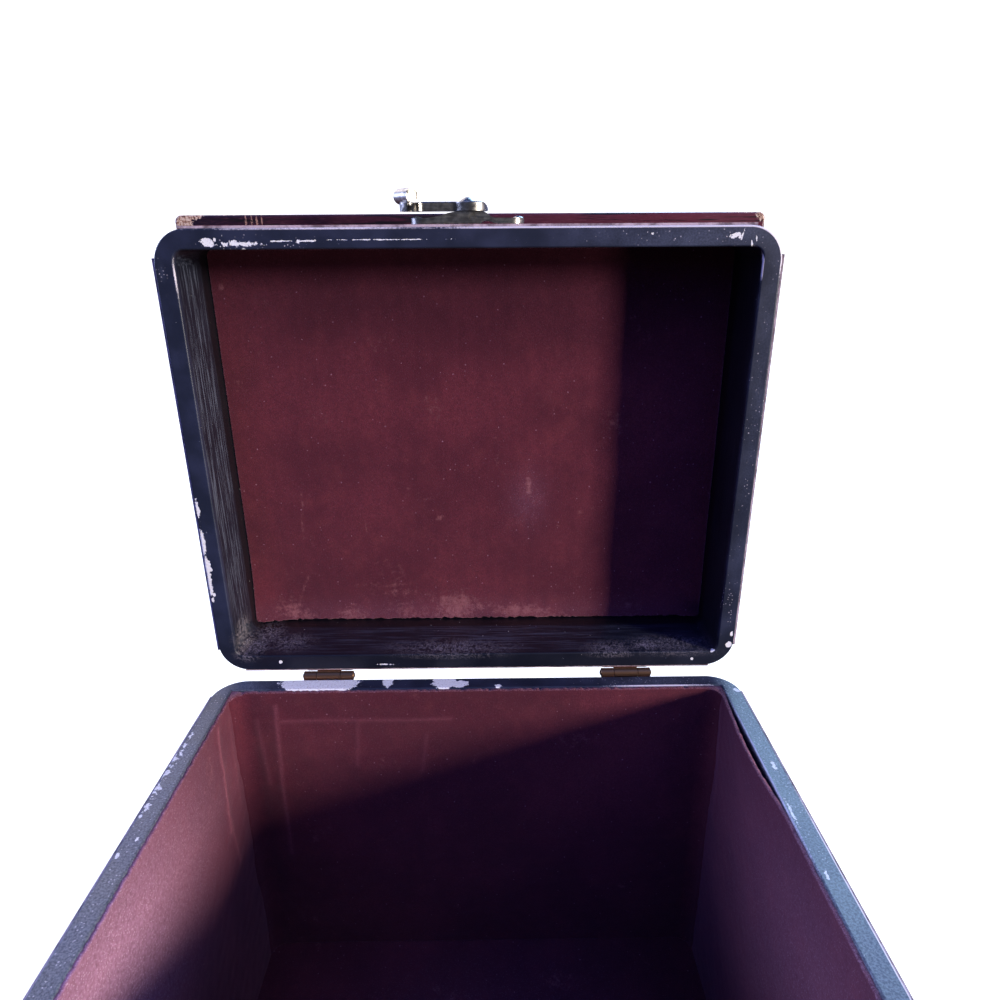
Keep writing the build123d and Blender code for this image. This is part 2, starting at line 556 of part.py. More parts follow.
with BuildPart() as clasp_hook:
    with BuildSketch(HOOK_FACE) as arm:
        with Locations((CLASP_X - HOOK_REACH / 2, PIVOT_UP)):
            Rectangle(HOOK_REACH, HOOK_ARM_WIDTH)
        with Locations((CLASP_X + HOOK_TAIL_OUT, PIVOT_UP)):
            Circle(HOOK_TAIL_RADIUS)
        with Locations((CLASP_X - HOOK_REACH, PIVOT_UP)):
            Circle(HOOK_HEAD_RADIUS)
        fillet(arm.vertices(), HOOK_HEAD_RADIUS / 2)
    extrude(arm.sketch, amount=HOOK_THICK)
    fillet(clasp_hook.faces().sort_by(Axis.Z)[-1].edges(), HOOK_EDGE)
    middle, length = span(-HOOK_REACH - HOOK_HEAD_RADIUS, HOOK_TAIL_OUT + HOOK_TAIL_RADIUS)
    with BuildSketch(HOOK_SIDE) as side:
        with Locations((middle, HOOK_THICK / 2)):
            Rectangle(length, HOOK_THICK)
        fillet(side.vertices().group_by(Axis.X)[-1].sort_by(Axis.Y)[-1], HOOK_TAIL_ROUND)
    extrude(side.sketch, amount=HOOK_TAIL_RADIUS, both=True, mode=Mode.INTERSECT)
    with BuildSketch(Plane(origin=ROLL_NEAR, x_dir=CLASP_FACE.z_dir, z_dir=CLASP_FACE.z_dir.cross(ROLL_AXIS))) as half:
        with BuildLine():
            Line((0, ROLL_DISH), (ROLL_RADIUS - ROLL_LIP, ROLL_DISH))
            Line((ROLL_RADIUS - ROLL_LIP, ROLL_DISH), (ROLL_RADIUS - ROLL_LIP, 0))
            Line((ROLL_RADIUS - ROLL_LIP, 0), (ROLL_RADIUS, 0))
            Line((ROLL_RADIUS, 0), (ROLL_RADIUS, ROLL_LENGTH - ROLL_EDGE))
            CenterArc((ROLL_RADIUS - ROLL_EDGE, ROLL_LENGTH - ROLL_EDGE), ROLL_EDGE, 0, 90)
            Line((ROLL_RADIUS - ROLL_EDGE, ROLL_LENGTH), (0, ROLL_LENGTH))
            Line((0, ROLL_LENGTH), (0, ROLL_DISH))
        make_face()
    revolve(half.sketch, axis=Axis(ROLL_NEAR, ROLL_AXIS))
    with BuildSketch(HOOK_FACE) as slot:
        with BuildLine():
            outer = CenterArc(PIVOT, HOOK_REACH + STUD_GAP, 180, SLOT_TURN)
            inner = CenterArc(PIVOT, HOOK_REACH - STUD_GAP, 180, SLOT_TURN)
            Line(outer @ 0, inner @ 0)
            Line(outer @ 1, inner @ 1)
        make_face()
        with Locations((CLASP_X - HOOK_REACH, PIVOT_UP)):
            Circle(STUD_GAP)
    extrude(slot.sketch, amount=HOOK_THICK, mode=Mode.SUBTRACT)
    drum(HOOK_FACE, [PIVOT], RIVET_RADIUS + RIVET_PLAY, 0, HOOK_THICK, Mode.SUBTRACT)

PIECES = {
    "box_bottom_board": box_bottom_board,
    "box_front_wall": box_front_wall,
    "box_back_wall": box_back_wall,
    "box_left_wall": box_left_wall,
    "box_right_wall": box_right_wall,
    "box_corner_posts": box_corner_posts,
    "box_front_panel": box_front_panel,
    "box_back_panel": box_back_panel,
    "box_left_panel": box_left_panel,
    "box_right_panel": box_right_panel,
    "box_floor_lining": box_floor_lining,
    "box_front_lining": box_front_lining,
    "box_back_lining": box_back_lining,
    "box_left_lining": box_left_lining,
    "box_right_lining": box_right_lining,
    "keeper_plate": keeper_plate,
    "keeper_stud": keeper_stud,
    "keeper_tacks": keeper_tacks,
    "left_hinge_box_leaf": left_hinge_box_leaf,
    "right_hinge_box_leaf": right_hinge_box_leaf,
    "left_hinge_pin": left_hinge_pin,
    "right_hinge_pin": right_hinge_pin,
    "hinge_box_screws": hinge_box_screws,
    "left_hinge_lid_leaf": left_hinge_lid_leaf,
    "right_hinge_lid_leaf": right_hinge_lid_leaf,
    "hinge_lid_screws": hinge_lid_screws,
    "lid_front_rail": lid_front_rail,
    "lid_back_rail": lid_back_rail,
    "lid_left_rail": lid_left_rail,
    "lid_right_rail": lid_right_rail,
    "lid_corner_posts": lid_corner_posts,
    "lid_top_board": lid_top_board,
    "lid_top_panel": lid_top_panel,
    "lid_front_panel": lid_front_panel,
    "lid_back_panel": lid_back_panel,
    "lid_left_panel": lid_left_panel,
    "lid_right_panel": lid_right_panel,
    "lid_lining": lid_lining,
    "clasp_saddle": clasp_saddle,
    "clasp_tacks": clasp_tacks,
    "clasp_rivet": clasp_rivet,
    "clasp_hook": clasp_hook,
}

os.makedirs("parts", exist_ok=True)
for name, piece in PIECES.items():
    piece.part.label = name
    export_step(piece.part, f"parts/{name}.step")
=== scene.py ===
"""Looks of the keepsake box: flocked linings, chipped black paint, red lacquer, pewter and aged brass.

Metres, in the CAD model's own frame: X runs to the right, Y from the clasp's side to the hinges, Z up. The
lid stands open, and its mouth faces the front. Sizes that are written in millimetres go through MM.
"""

import logging
import math
from dataclasses import dataclass, field
from enum import Enum
from functools import partial

import bmesh
import bpy
import numpy as np
from mathutils import Matrix, Vector


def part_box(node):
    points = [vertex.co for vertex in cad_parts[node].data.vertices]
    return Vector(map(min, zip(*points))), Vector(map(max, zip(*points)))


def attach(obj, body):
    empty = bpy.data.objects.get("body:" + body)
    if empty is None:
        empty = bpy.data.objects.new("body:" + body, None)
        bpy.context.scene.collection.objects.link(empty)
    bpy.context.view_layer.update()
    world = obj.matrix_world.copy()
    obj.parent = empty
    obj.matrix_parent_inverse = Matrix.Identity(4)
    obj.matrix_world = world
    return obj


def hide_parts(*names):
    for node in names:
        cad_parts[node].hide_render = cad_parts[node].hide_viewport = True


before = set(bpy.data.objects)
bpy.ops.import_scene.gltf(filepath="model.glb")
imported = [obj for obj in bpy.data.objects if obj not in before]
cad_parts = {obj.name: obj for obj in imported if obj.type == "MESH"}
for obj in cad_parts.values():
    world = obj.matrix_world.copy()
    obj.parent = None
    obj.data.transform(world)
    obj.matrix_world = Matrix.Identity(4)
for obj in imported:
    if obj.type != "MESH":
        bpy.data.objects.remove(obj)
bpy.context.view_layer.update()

MM = 0.001
LOG = logging.getLogger("keepsake_box")

Socket = bpy.types.NodeSocket
Tree = bpy.types.NodeTree
Triple = tuple[float, float, float]


def linear(colour: str) -> tuple[float, float, float, float]:
    """Turns an sRGB hex colour to linear: c / 12.92 up to 0.04045, else ((c + 0.055) / 1.055) ** 2.4.

    Args:
        colour: a hex colour such as "#1e2433".

    Returns:
        Linear red, green and blue, and an alpha of 1.
    """
    values = (int(colour[i : i + 2], 16) / 255 for i in (1, 3, 5))
    red, green, blue = (c / 12.92 if c <= 0.04045 else ((c + 0.055) / 1.055) ** 2.4 for c in values)
    return red, green, blue, 1.0


def every(size: float) -> float:
    """Pattern scale that gives lumps of this size in millimetres on coordinates in metres."""
    return 1 / (size * MM)


def add(tree: Tree, kind: str, *values: object, out: int | str = 0, **settings: object) -> Socket | None:
    """Adds one node with its settings, values and links.

    Args:
        tree: the node tree it goes into.
        kind: the node's type, without its leading "ShaderNode".
        values: what its inputs get, in their order: a socket to link from, a hex colour, a plain value, or
            None to leave one alone. A dictionary at the end gives inputs by name.
        out: the output to hand back, by name or number.
        settings: the node's own options, and for a ramp stops=[(position, hex colour), ...].

    Returns:
        The chosen output socket, or None where the node has no outputs.
    """
    node = tree.nodes.new("ShaderNode" + kind)
    for number, (position, colour) in enumerate(settings.pop("stops", ())):
        elements = node.color_ramp.elements
        element = elements[number] if number < 2 else elements.new(position)
        element.position = position
        element.color = linear(colour)
    for key, value in settings.items():
        setattr(node, key, value)
    named = values[-1] if values and isinstance(values[-1], dict) else {}
    for key, value in [*enumerate(values[: -1 if named else None]), *named.items()]:
        if isinstance(value, bpy.types.NodeSocket):
            tree.links.new(value, node.inputs[key])
        elif value is not None:
            node.inputs[key].default_value = linear(value) if isinstance(value, str) else value
    return node.outputs[out] if len(node.outputs) else None


SMOOTH = {"interpolation_type": "SMOOTHSTEP"}
TIMES = {"operation": "MULTIPLY"}
PLUS = {"operation": "ADD"}
LARGER = {"operation": "MAXIMUM"}
TIMES_PLUS = {"operation": "MULTIPLY_ADD"}
FAR = 1000.0  # millimetres, past every piece
MIDDLE = Vector((0.0, 0.0, 0.2))  # what the lamps point at
WARP_SIZE = 55.0  # millimetres from crest to crest of a card's slow warp
RIPPLE_SIZE = 9.0
RIPPLE_HEIGHT = 0.05
CLOUD_SIZE = 30.0  # patches where the nap is worn
MOTTLE_SIZE = 6.0
FRAY_SIZE = 3.2


@dataclass(frozen=True)
class Mark:
    """A worn place, in millimetres in its piece's pattern frame: its middle, half sizes and strength."""

    x: float
    y: float
    half_x: float
    half_y: float
    strength: float = 1.0
    turn: float = 0.0  # degrees about Z
    z: float = 0.0
    half_z: float = 2.0


def marked(tree: Tree, place: Socket, marks: tuple[Mark, ...]) -> Socket | float:
    """Field of worn places: strength * (1.5 - d), where d is 1 on the edge of a mark.

    Args:
        tree: the node tree.
        place: pattern coordinates in metres.
        marks: the worn places.

    Returns:
        The largest of the marks' values, or 0 where there are none.
    """
    put = partial(add, tree)
    total: Socket | float = 0.0
    for mark in marks:
        middle = (mark.x * MM, mark.y * MM, mark.z * MM)
        halves = (mark.half_x * MM, mark.half_y * MM, mark.half_z * MM)
        near = put("Mapping", place, middle, (0, 0, math.radians(mark.turn)), halves, vector_type="TEXTURE")
        far = put("VectorMath", near, out="Value", operation="LENGTH")
        total = put("Math", total, put("MapRange", far, 0.0, 1.5, 1.5 * mark.strength, 0.0), **LARGER)
    return total


def shaken(tree: Tree, place: Socket, lumps: float, reach: float) -> Socket:
    """Moves each place about by noise, so that a pattern of cells on it gets ragged outlines.

    Args:
        tree: the node tree.
        place: coordinates in metres.
        lumps: size of the noise's lumps, in millimetres.
        reach: how far the noise moves a place at most, in millimetres.

    Returns:
        place + reach * noise.
    """
    noise = add(tree, "TexNoise", place, None, every(lumps), out="Color")
    return add(tree, "VectorMath", place, add(tree, "VectorMath", noise, (reach * MM,) * 3, **TIMES), **PLUS)


class Grain(Enum):
    """The way a board's grain and brush strokes run, in its case's pattern frame."""

    ACROSS = 0
    DEPTH = 1
    HEIGHT = 2


@dataclass(frozen=True)
class CaseSize:
    """The outline that the body and the lid share, in millimetres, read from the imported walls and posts."""

    half_width: float
    half_depth: float
    corner: float
    wall: float

    @classmethod
    def measured(cls) -> "CaseSize":
        """Reads the outline from the corner posts, the front wall's ends and the left wall's thickness."""
        posts, front, left = (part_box(n)[1] for n in ("box_corner_posts", "box_front_wall", "box_left_wall"))
        return cls(posts[0] / MM, posts[1] / MM, (posts[0] - front[0]) / MM, (posts[0] + left[0]) / MM)


CASE = CaseSize.measured()


@dataclass(frozen=True)
class CaseFrame:
    """Pattern frame of the body or the lid: X is the width, Y the depth, Z is 0 on the rim, less below."""

    turn: float  # degrees about X, from the CAD model's frame
    shift: Triple  # millimetres, after the turn
    sheen_and_wear_tone: str  # what the paint turns to where it is handled, and the tone of the painted sheen on the rims
    chips: tuple[Mark, ...] = ()  # paint knocked off down to the ground coat
    flecks: tuple[Mark, ...] = ()  # pinhead chips
    sheen_and_wear_hazes: tuple[Mark, ...] = ()  # handled paint, and painted sheen along the rims' tops
    lines: tuple[Mark, ...] = ()  # where an edge is rubbed pale, partly a painted highlight along lit edges
    dusts: tuple[Mark, ...] = ()  # fluff and dust
    brushed: tuple[Mark, ...] = ()  # where the brush strokes stand out
    painted_shade_marks: tuple[Mark, ...] = ()  # painted shade: where the paint is drawn blackest

    def spot(self, tree: Tree, place: Socket) -> Socket:
        """Turns Object coordinates into the pattern frame: rotated about X, then shifted."""
        shift = tuple(s * MM for s in self.shift)
        return add(tree, "Mapping", place, shift, (math.radians(self.turn), 0.0, 0.0))

    def on(self, grain: Grain, marks: tuple[Mark, ...]) -> tuple[Mark, ...]:
        """Picks the marks that touch one kind of board, to keep the material small.

        Args:
            grain: ACROSS for the front and back boards, DEPTH for the sides, HEIGHT for the posts.
            marks: the marks to pick from.

        Returns:
            Those whose box touches such a board.
        """
        post = (CASE.half_width - CASE.corner, CASE.half_depth - CASE.corner)
        board = (CASE.half_width - CASE.wall, CASE.half_depth - CASE.wall)
        picked = []
        for mark in marks:
            near = (abs(mark.x) - mark.half_x, abs(mark.y) - mark.half_y)
            far = (abs(mark.x) + mark.half_x, abs(mark.y) + mark.half_y)
            on_kind = {
                Grain.ACROSS: near[0] < post[0] and far[1] > board[1],
                Grain.DEPTH: near[1] < post[1] and far[0] > board[0],
                Grain.HEIGHT: far[0] > post[0] and far[1] > post[1],
            }
            if on_kind[grain]:
                picked.append(mark)
        return tuple(picked)


LID_LOW, LID_HIGH = ([v / MM for v in corner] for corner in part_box("lid_corner_posts"))
BODY_CASE = CaseFrame(
    turn=0.0,
    shift=(0.0, 0.0, -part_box("box_corner_posts")[1][2] / MM),
    sheen_and_wear_tone="#757a84",
    chips=(
        Mark(-122.9, 61.0, 1.2, 2.4, 0.5),
        Mark(-123.3, 54.0, 1.5, 4.0, 0.5),
        Mark(-122.8, 48.8, 1.8, 2.4, 0.52),
        Mark(-124.0, 46.0, 2.0, 5.4, 0.54, 6.0),
        Mark(-124.0, 38.0, 2.0, 4.2, 0.54, -8.0),
        Mark(-123.8, 29.5, 2.2, 5.0, 0.54, 5.0),
        Mark(-123.4, 20.5, 1.7, 4.2, 0.52),
        Mark(-123.7, 15.5, 0.6, 1.0),
        Mark(-119.8, 5.0, 0.5, 0.8, 0.9),
        Mark(-123.3, -2.0, 0.7, 1.4, 0.9),
        Mark(-75.8, 100.0, 15.0, 9.0, 2.4, half_z=4.0),
        Mark(-43.2, 100.0, 2.2, 5.5, 1.3, half_z=4.0),
        Mark(-16.0, 98.5, 5.0, 5.5, 1.5, half_z=3.0),
        Mark(-8.5, 96.0, 4.0, 2.4, 1.3, half_z=3.0),
        Mark(10.2, 94.2, 1.5, 1.2, 1.2),
        Mark(123.0, 89.0, 1.4, 1.8, 0.95, 30.0),
        Mark(121.4, 38.5, 1.3, 2.8, 0.68),
        Mark(118.7, 13.5, 0.7, 7.0, 0.66),
        Mark(119.4, -14.0, 0.7, 3.0, 0.66),
    ),
    flecks=(
        Mark(-121.0, 20.0, 6.0, 90.0, 0.8, half_z=3.0),
        Mark(120.0, 50.0, 5.0, 48.0, 2.6, half_z=3.0),
        Mark(90.0, 96.5, 36.0, 6.0, 1.1, half_z=3.0),
    ),
    # painted sheen along the rims' tops, brighter on the right, with some handled paint
    sheen_and_wear_hazes=(
        Mark(-121.0, 0.0, 9.0, 112.0, half_z=5.0),
        Mark(121.0, 0.0, 9.0, 112.0, 1.15, half_z=5.0),
        Mark(90.0, 97.0, 40.0, 7.0, 0.45, half_z=5.0),
        Mark(-110.0, 96.0, 16.0, 9.0, 0.7, half_z=5.0),
    ),
    # rubbed edges, partly painted highlights along the right-hand edges
    lines=(
        Mark(117.5, 38.0, 3.0, 62.0, 0.75),
        Mark(125.0, -20.0, 2.5, 45.0, 1.1),
        Mark(90.0, 93.0, 30.0, 2.0, 0.8),
    ),
)
LID_CASE = CaseFrame(
    turn=-90.0,
    shift=(0.0, -(LID_LOW[2] + LID_HIGH[2]) / 2, LID_LOW[1]),
    sheen_and_wear_tone="#4a5166",
    chips=(
        Mark(-102.6, 95.8, 2.5, 1.5, 1.15, -14.0),
        Mark(-99.6, 96.7, 0.6, 0.9, 0.95),
        Mark(-91.7, 96.1, 1.0, 0.6, 0.9),
        Mark(-90.0, 95.2, 10.5, 1.1, 0.62),
        Mark(-88.7, 92.9, 0.9, 0.7, 1.1),
        Mark(-74.0, 96.1, 5.0, 0.35, 0.85),
        Mark(-67.0, 95.9, 0.6, 0.8),
        Mark(-63.4, 96.1, 3.5, 0.4, 0.95),
        Mark(-34.0, 96.4, 28.0, 0.25, 0.56),
        Mark(-111.7, 92.5, 0.7, 0.5, 0.8),
        Mark(105.2, 97.2, 2.6, 1.3, 0.66),
        Mark(106.9, 96.5, 0.7, 0.6, 1.1),
        Mark(107.8, 96.8, 0.4, 2.7, 0.85, -16.0),
        Mark(112.0, 94.2, 0.4, 1.4, 0.95, 12.0),
        Mark(113.6, 96.0, 0.35, 1.2, 0.7, 8.0),
        Mark(72.3, 98.0, 0.6, 0.5, 0.9),
        Mark(115.2, 91.4, 0.8, 0.4, 0.95),
        Mark(-123.8, -16.0, 0.9, 5.4, 0.8),
        Mark(-124.0, -33.0, 1.2, 7.0, 0.95),
        Mark(-123.7, -45.0, 1.6, 4.2, 1.15),
        Mark(-124.0, -54.0, 1.2, 5.8, 0.98),
        Mark(-122.8, -59.3, 0.8, 0.9, 1.2),
        Mark(-123.9, -62.0, 0.7, 1.3, 0.85),
        Mark(122.5, -89.3, 1.4, 1.4, 1.4),
        Mark(123.4, -83.8, 0.7, 1.6, 0.85),
        Mark(115.0, -92.8, 1.1, 0.7, 1.0, 35.0),
        Mark(105.4, -97.2, 0.7, 0.9),
        Mark(-95.9, -96.4, 0.8, 0.9, 1.3),
        Mark(-93.4, -92.6, 3.1, 0.4, 0.85, 28.0),
        Mark(-88.6, -92.6, 3.0, 0.4, 0.85, -34.0),
        Mark(-45.0, -98.4, 5.2, 0.6, 0.62),
    ),
    flecks=(
        Mark(119.5, -65.0, 5.0, 13.0, half_z=3.0),
        Mark(121.5, 20.0, 5.0, 95.0, 0.45, half_z=3.0),
        Mark(-84.0, 95.5, 24.0, 3.0, 0.85, half_z=3.0),
        Mark(85.0, 97.0, 40.0, 5.0, 0.5, half_z=3.0),
        Mark(-122.5, 84.5, 2.0, 5.0, half_z=3.0),
    ),
    # painted sheen on the right-hand rim, with some handled paint
    sheen_and_wear_hazes=(
        Mark(95.0, 97.0, 60.0, 9.0, 0.6, half_z=5.0),
        Mark(121.5, 30.0, 7.0, 110.0, 0.5, half_z=4.0),
        Mark(-122.3, 84.5, 1.8, 4.5, 0.6, half_z=3.0),
    ),
    # rubbed edges, partly painted highlights; the long one on the outer edge is brightest on the right
    lines=(
        Mark(62.0, 101.0, 66.0, 2.0, 1.35),
        Mark(-55.0, 101.0, 62.0, 2.0, 0.6),
        Mark(121.0, 95.0, 7.0, 12.0, 1.6),
        Mark(-117.0, 83.0, 2.0, 10.0, 0.62),
        Mark(117.2, 85.5, 1.6, 5.0, 1.3),
    ),
    dusts=(
        Mark(-112.0, -93.0, 8.0, 4.0, 1.25, z=-9.0, half_z=9.0),
        Mark(-107.0, -93.0, 7.0, 4.0, 0.95, z=-20.0, half_z=11.0),
        Mark(-116.5, -86.0, 3.5, 7.0, 0.95, z=-11.0, half_z=10.0),
        Mark(-94.0, -93.0, 11.0, 3.0, 0.75, z=-12.0, half_z=8.0),
        Mark(-13.0, -93.5, 28.0, 2.5, 0.8, z=-6.0, half_z=7.0),
        Mark(66.0, -93.5, 12.0, 2.5, 0.85, z=-4.0, half_z=6.0),
        Mark(84.0, -93.5, 8.0, 2.5, 1.15, z=-6.5, half_z=5.0),
        Mark(98.0, -93.5, 22.0, 2.5, 0.75, z=-7.0, half_z=8.0),
    ),
    brushed=(
        Mark(-117.0, 0.0, 3.0, 92.0, 1.2, z=-13.0, half_z=11.5),
        Mark(-112.0, 88.0, 6.0, 6.0, 0.8, z=-14.0, half_z=12.0),
        Mark(0.0, -93.0, 110.0, 2.0, 0.4, z=-16.0, half_z=14.0),
    ),
    # painted shade on the lower rail and on the right rail's inner face
    painted_shade_marks=(
        Mark(0.0, -100.0, 150.0, 16.0, z=-10.0, half_z=60.0),
        Mark(117.0, 0.0, 5.0, 120.0, 0.45, z=-14.0, half_z=20.0),
    ),
)


@dataclass(frozen=True)
class Finish:
    """One finish. Each kind of it fills in surface()."""

    name: str

    def surface(self, tree: Tree, place: Socket) -> Socket:
        """Builds the shader.

        Args:
            tree: the material's node tree.
            place: Object coordinates, in metres.

        Returns:
            The shader's output.
        """
        raise NotImplementedError

    def material(self) -> bpy.types.Material:
        """Makes the material, or finds it where it was made before."""
        if self.name in bpy.data.materials:
            return bpy.data.materials[self.name]
        made = bpy.data.materials.new(self.name)
        made.use_nodes = True
        made.node_tree.nodes.clear()
        place = add(made.node_tree, "TexCoord", out="Object")
        add(made.node_tree, "OutputMaterial", self.surface(made.node_tree, place))
        return made


@dataclass(frozen=True)
class Coat:
    """What the layers of one coat of paint share."""

    tree: Tree
    spot: Socket  # place in the case's pattern frame, in metres
    cloud: Socket  # slow noise
    grit: Socket  # fine noise
    height: Socket  # above the rim, in metres
    below: Socket  # 0 on the rim, 1 from 3 mm under it
    fields: dict[str, Socket | float]  # one for each kind of mark

    def put(self, kind: str, *values: object, **settings: object) -> Socket | None:
        """Adds a node to the coat's tree, as add does."""
        return add(self.tree, kind, *values, **settings)


@dataclass(frozen=True)
class BlackPaint(Finish):
    """Alkyd enamel brushed on wood: nearly black with a cold blue cast, a satin gloss, grey haze and pinhead
    chips where hands go, pale rubbed edges, dust in the corners, and chips down to a chalky ground coat. The
    grey haze is partly painted sheen on the rims, the pale edges partly painted highlights, and painted shade
    blackens it below the rim and in marked places."""

    case: CaseFrame
    grain: Grain
    deep: str = "#1e2333"
    lit: str = "#2b3046"
    stroke_tone: str = "#5b6272"
    dust: str = "#91878c"
    # pinhead chips and rubbed edges; on lit edges a painted highlight
    pale: str = "#e6dde2"
    ground: str = "#f6f4ee"
    ground_grain: str = "#b9ac9c"
    # painted shade below the rim and in the marked dark places
    black: str = "#10131d"
    shaded: str = "#06080d"
    stroke: float = 0.8  # millimetres across a brush ridge
    stroke_length: float = 24.0
    darkest_from: float = -0.025  # metres above the rim; painted shade is darkest below this, beside the lining

    def outline(self, coat: Coat) -> Socket:
        """Signed distance to the case's rounded outline, in millimetres, less than 0 inside it.

        Args:
            coat: what the layers share.

        Returns:
            The length of the part of |p| - b above 0, plus the larger component of it below 0, less the
            corner radius, where b is half the outline less that radius.
        """
        put = coat.put
        inner = ((CASE.half_width - CASE.corner) * MM, (CASE.half_depth - CASE.corner) * MM, 0.0)
        flat = put("VectorMath", coat.spot, (1.0, 1.0, 0.0), **TIMES)
        past = put("VectorMath", put("VectorMath", flat, operation="ABSOLUTE"), inner, operation="SUBTRACT")
        over = put("VectorMath", past, (0.0, 0.0, 0.0), **LARGER)
        far = put("VectorMath", over, out="Value", operation="LENGTH")
        parts = put("SeparateXYZ", past).node.outputs
        within = put("Math", put("Math", parts[0], parts[1], **LARGER), 0.0, operation="MINIMUM")
        return put("Math", put("Math", far, within, **PLUS), 1 / MM, -CASE.corner, **TIMES_PLUS)

    def painted(self, coat: Coat, strokes: Socket) -> Socket:
        """Colour of the paint: clouds, haze where it is handled and painted sheen on the rims, painted shade
        below the rim and in marked places, pale brush ridges.

        Args:
            coat: what the layers share.
            strokes: noise drawn out along the brush strokes.

        Returns:
            The colour before any wear.
        """
        put, fields = coat.put, coat.fields
        base = put("MixRGB", put("MapRange", coat.cloud, 0.35, 0.7, **SMOOTH), self.deep, self.lit)
        # the haze marks are partly painted sheen
        cloudy = put("Math", coat.cloud, 0.8, fields["sheen_and_wear_hazes"], **TIMES_PLUS)
        sheen_and_wear_mask = put("MapRange", cloudy, 0.5, 1.6, 0.0, 0.95, **SMOOTH)
        gritty = put("Math", sheen_and_wear_mask, put("MapRange", coat.grit, 0.4, 0.6, 0.25, 1.0), **TIMES)
        base = put("MixRGB", gritty, base, self.case.sheen_and_wear_tone)
        # painted shade: blacker in the marked places and below the rim
        dark = put("Math", fields["painted_shade_marks"], 0.95, **TIMES)
        darkest = put("Math", dark, put("Math", coat.below, 0.8, **TIMES), **LARGER)
        base = put("MixRGB", put("Math", darkest, 0.9, operation="MINIMUM"), base, self.black)
        ridges = put("MapRange", strokes, 0.5, 0.6, **SMOOTH)
        shown = put("Math", coat.below, put("MapRange", fields["brushed"], 0.0, 1.0, 0.08, 0.75), **TIMES)
        base = put("MixRGB", put("Math", ridges, shown, **TIMES), base, self.stroke_tone)
        # painted shade: darkest far below the rim, beside the lining
        full = self.darkest_from - 2.5 * MM
        beside = put("MapRange", coat.height, self.darkest_from, full, 0.0, 0.9, **SMOOTH)
        return put("MixRGB", beside, base, self.shaded)

    def flecked(self, coat: Coat) -> Socket:
        """Pinhead chips, one to a cell, in the cells whose random tone and field of flecks reach far enough.

        Args:
            coat: what the layers share.

        Returns:
            How bare each place is, from 0 to 1.
        """
        put = coat.put
        spot = shaken(coat.tree, coat.spot, 0.7, 0.5)
        cells = put("TexVoronoi", spot, None, every(1.2), out="Distance").node.outputs
        pinhead = put("MapRange", cells["Distance"], 0.26, 0.1, **SMOOTH)
        chance = put("SeparateColor", cells["Color"])
        dense = put("Math", coat.fields["flecks"], 0.75, chance, **TIMES_PLUS)
        return put("Math", pinhead, put("MapRange", dense, 1.05, 1.3), **TIMES)

    def dusty(self, coat: Coat) -> Socket:
        """Dust and fluff in curls along the middle value of a wrung noise.

        Args:
            coat: what the layers share.

        Returns:
            How thick it lies, from 0 to 1.
        """
        put = coat.put
        curls = put("TexNoise", coat.spot, None, every(3.2), 3.0, 0.65, {"Distortion": 1.6})
        away = put("Math", put("Math", curls, -0.5, **PLUS), operation="ABSOLUTE")
        fluff = put("MapRange", away, 0.05, 0.005, 0.25, 1.0)
        gritty = put("Math", coat.grit, 0.5, coat.fields["dusts"], **TIMES_PLUS)
        return put("MapRange", put("Math", gritty, fluff, **TIMES), 0.25, 1.25, 0.0, 0.85)

    def rubbed(self, coat: Coat) -> Socket:
        """Pale rubbed edges along the rim's outer and inner edges, partly painted highlights.

        Args:
            coat: what the layers share.

        Returns:
            How pale each place is, from 0 to 1.
        """
        put, edge = coat.put, self.outline(coat)
        outer_gap = put("Math", put("Math", edge, 0.35, **PLUS), operation="ABSOLUTE")
        inner_gap = put("Math", put("Math", edge, CASE.wall - 0.4, **PLUS), operation="ABSOLUTE")
        outer = put("MapRange", outer_gap, 0.5, 0.25)
        inner = put("MapRange", inner_gap, 0.4, 0.2)
        uneven = put("Math", coat.cloud, 0.7, coat.grit, **TIMES_PLUS)
        along = put("MapRange", put("Math", uneven, coat.fields["lines"], **PLUS), 1.25, 1.7)
        lines = put("Math", along, put("Math", outer, inner, **LARGER), **TIMES)
        on_rim = put("MapRange", coat.height, -0.0016, -0.0008)
        return put("Math", lines, on_rim, **TIMES)

    def bare(self, coat: Coat) -> Socket:
        """Where the paint is knocked off: 1 inside the chips' ragged outlines, else 0."""
        ragged = coat.put("TexNoise", coat.spot, None, every(1.8), 4.0, 0.7)
        uneven = coat.put("Math", ragged, 2.4, -1.2, **TIMES_PLUS)
        return coat.put("MapRange", coat.put("Math", uneven, coat.fields["chips"], **PLUS), 0.5, 0.56)

    def surface(self, tree: Tree, place: Socket) -> Socket:
        """Builds the shader in layers: paint with painted shade, haze with painted sheen, strokes, flecks,
        dust, rubbed edges with painted highlights, and chips.
        """
        put = partial(add, tree)
        spot = self.case.spot(tree, place)
        cloud = put("TexNoise", spot, None, every(16.0), 3.0, 0.5)
        grit = put("TexNoise", spot, None, every(0.8), 3.0, 0.7)
        height = put("SeparateXYZ", spot, out=2)
        below = put("MapRange", height, -0.0012, -0.003, **SMOOTH)
        kinds = ("chips", "flecks", "sheen_and_wear_hazes", "lines", "dusts", "brushed", "painted_shade_marks")
        fields = {k: marked(tree, spot, self.case.on(self.grain, getattr(self.case, k))) for k in kinds}
        coat = Coat(tree, spot, cloud, grit, height, below, fields)
        scale = [every(self.stroke)] * 3
        if self.grain is not Grain.HEIGHT:
            scale[self.grain.value] = every(self.stroke_length)
        strokes = put("TexNoise", put("Mapping", spot, None, None, scale), None, 1.0, 4.0, 0.65)

        dusty, bare = self.dusty(coat), self.bare(coat)
        base = self.painted(coat, strokes)
        base = put("MixRGB", put("Math", self.flecked(coat), 0.6, **TIMES), base, self.pale)
        base = put("MixRGB", dusty, base, self.dust)
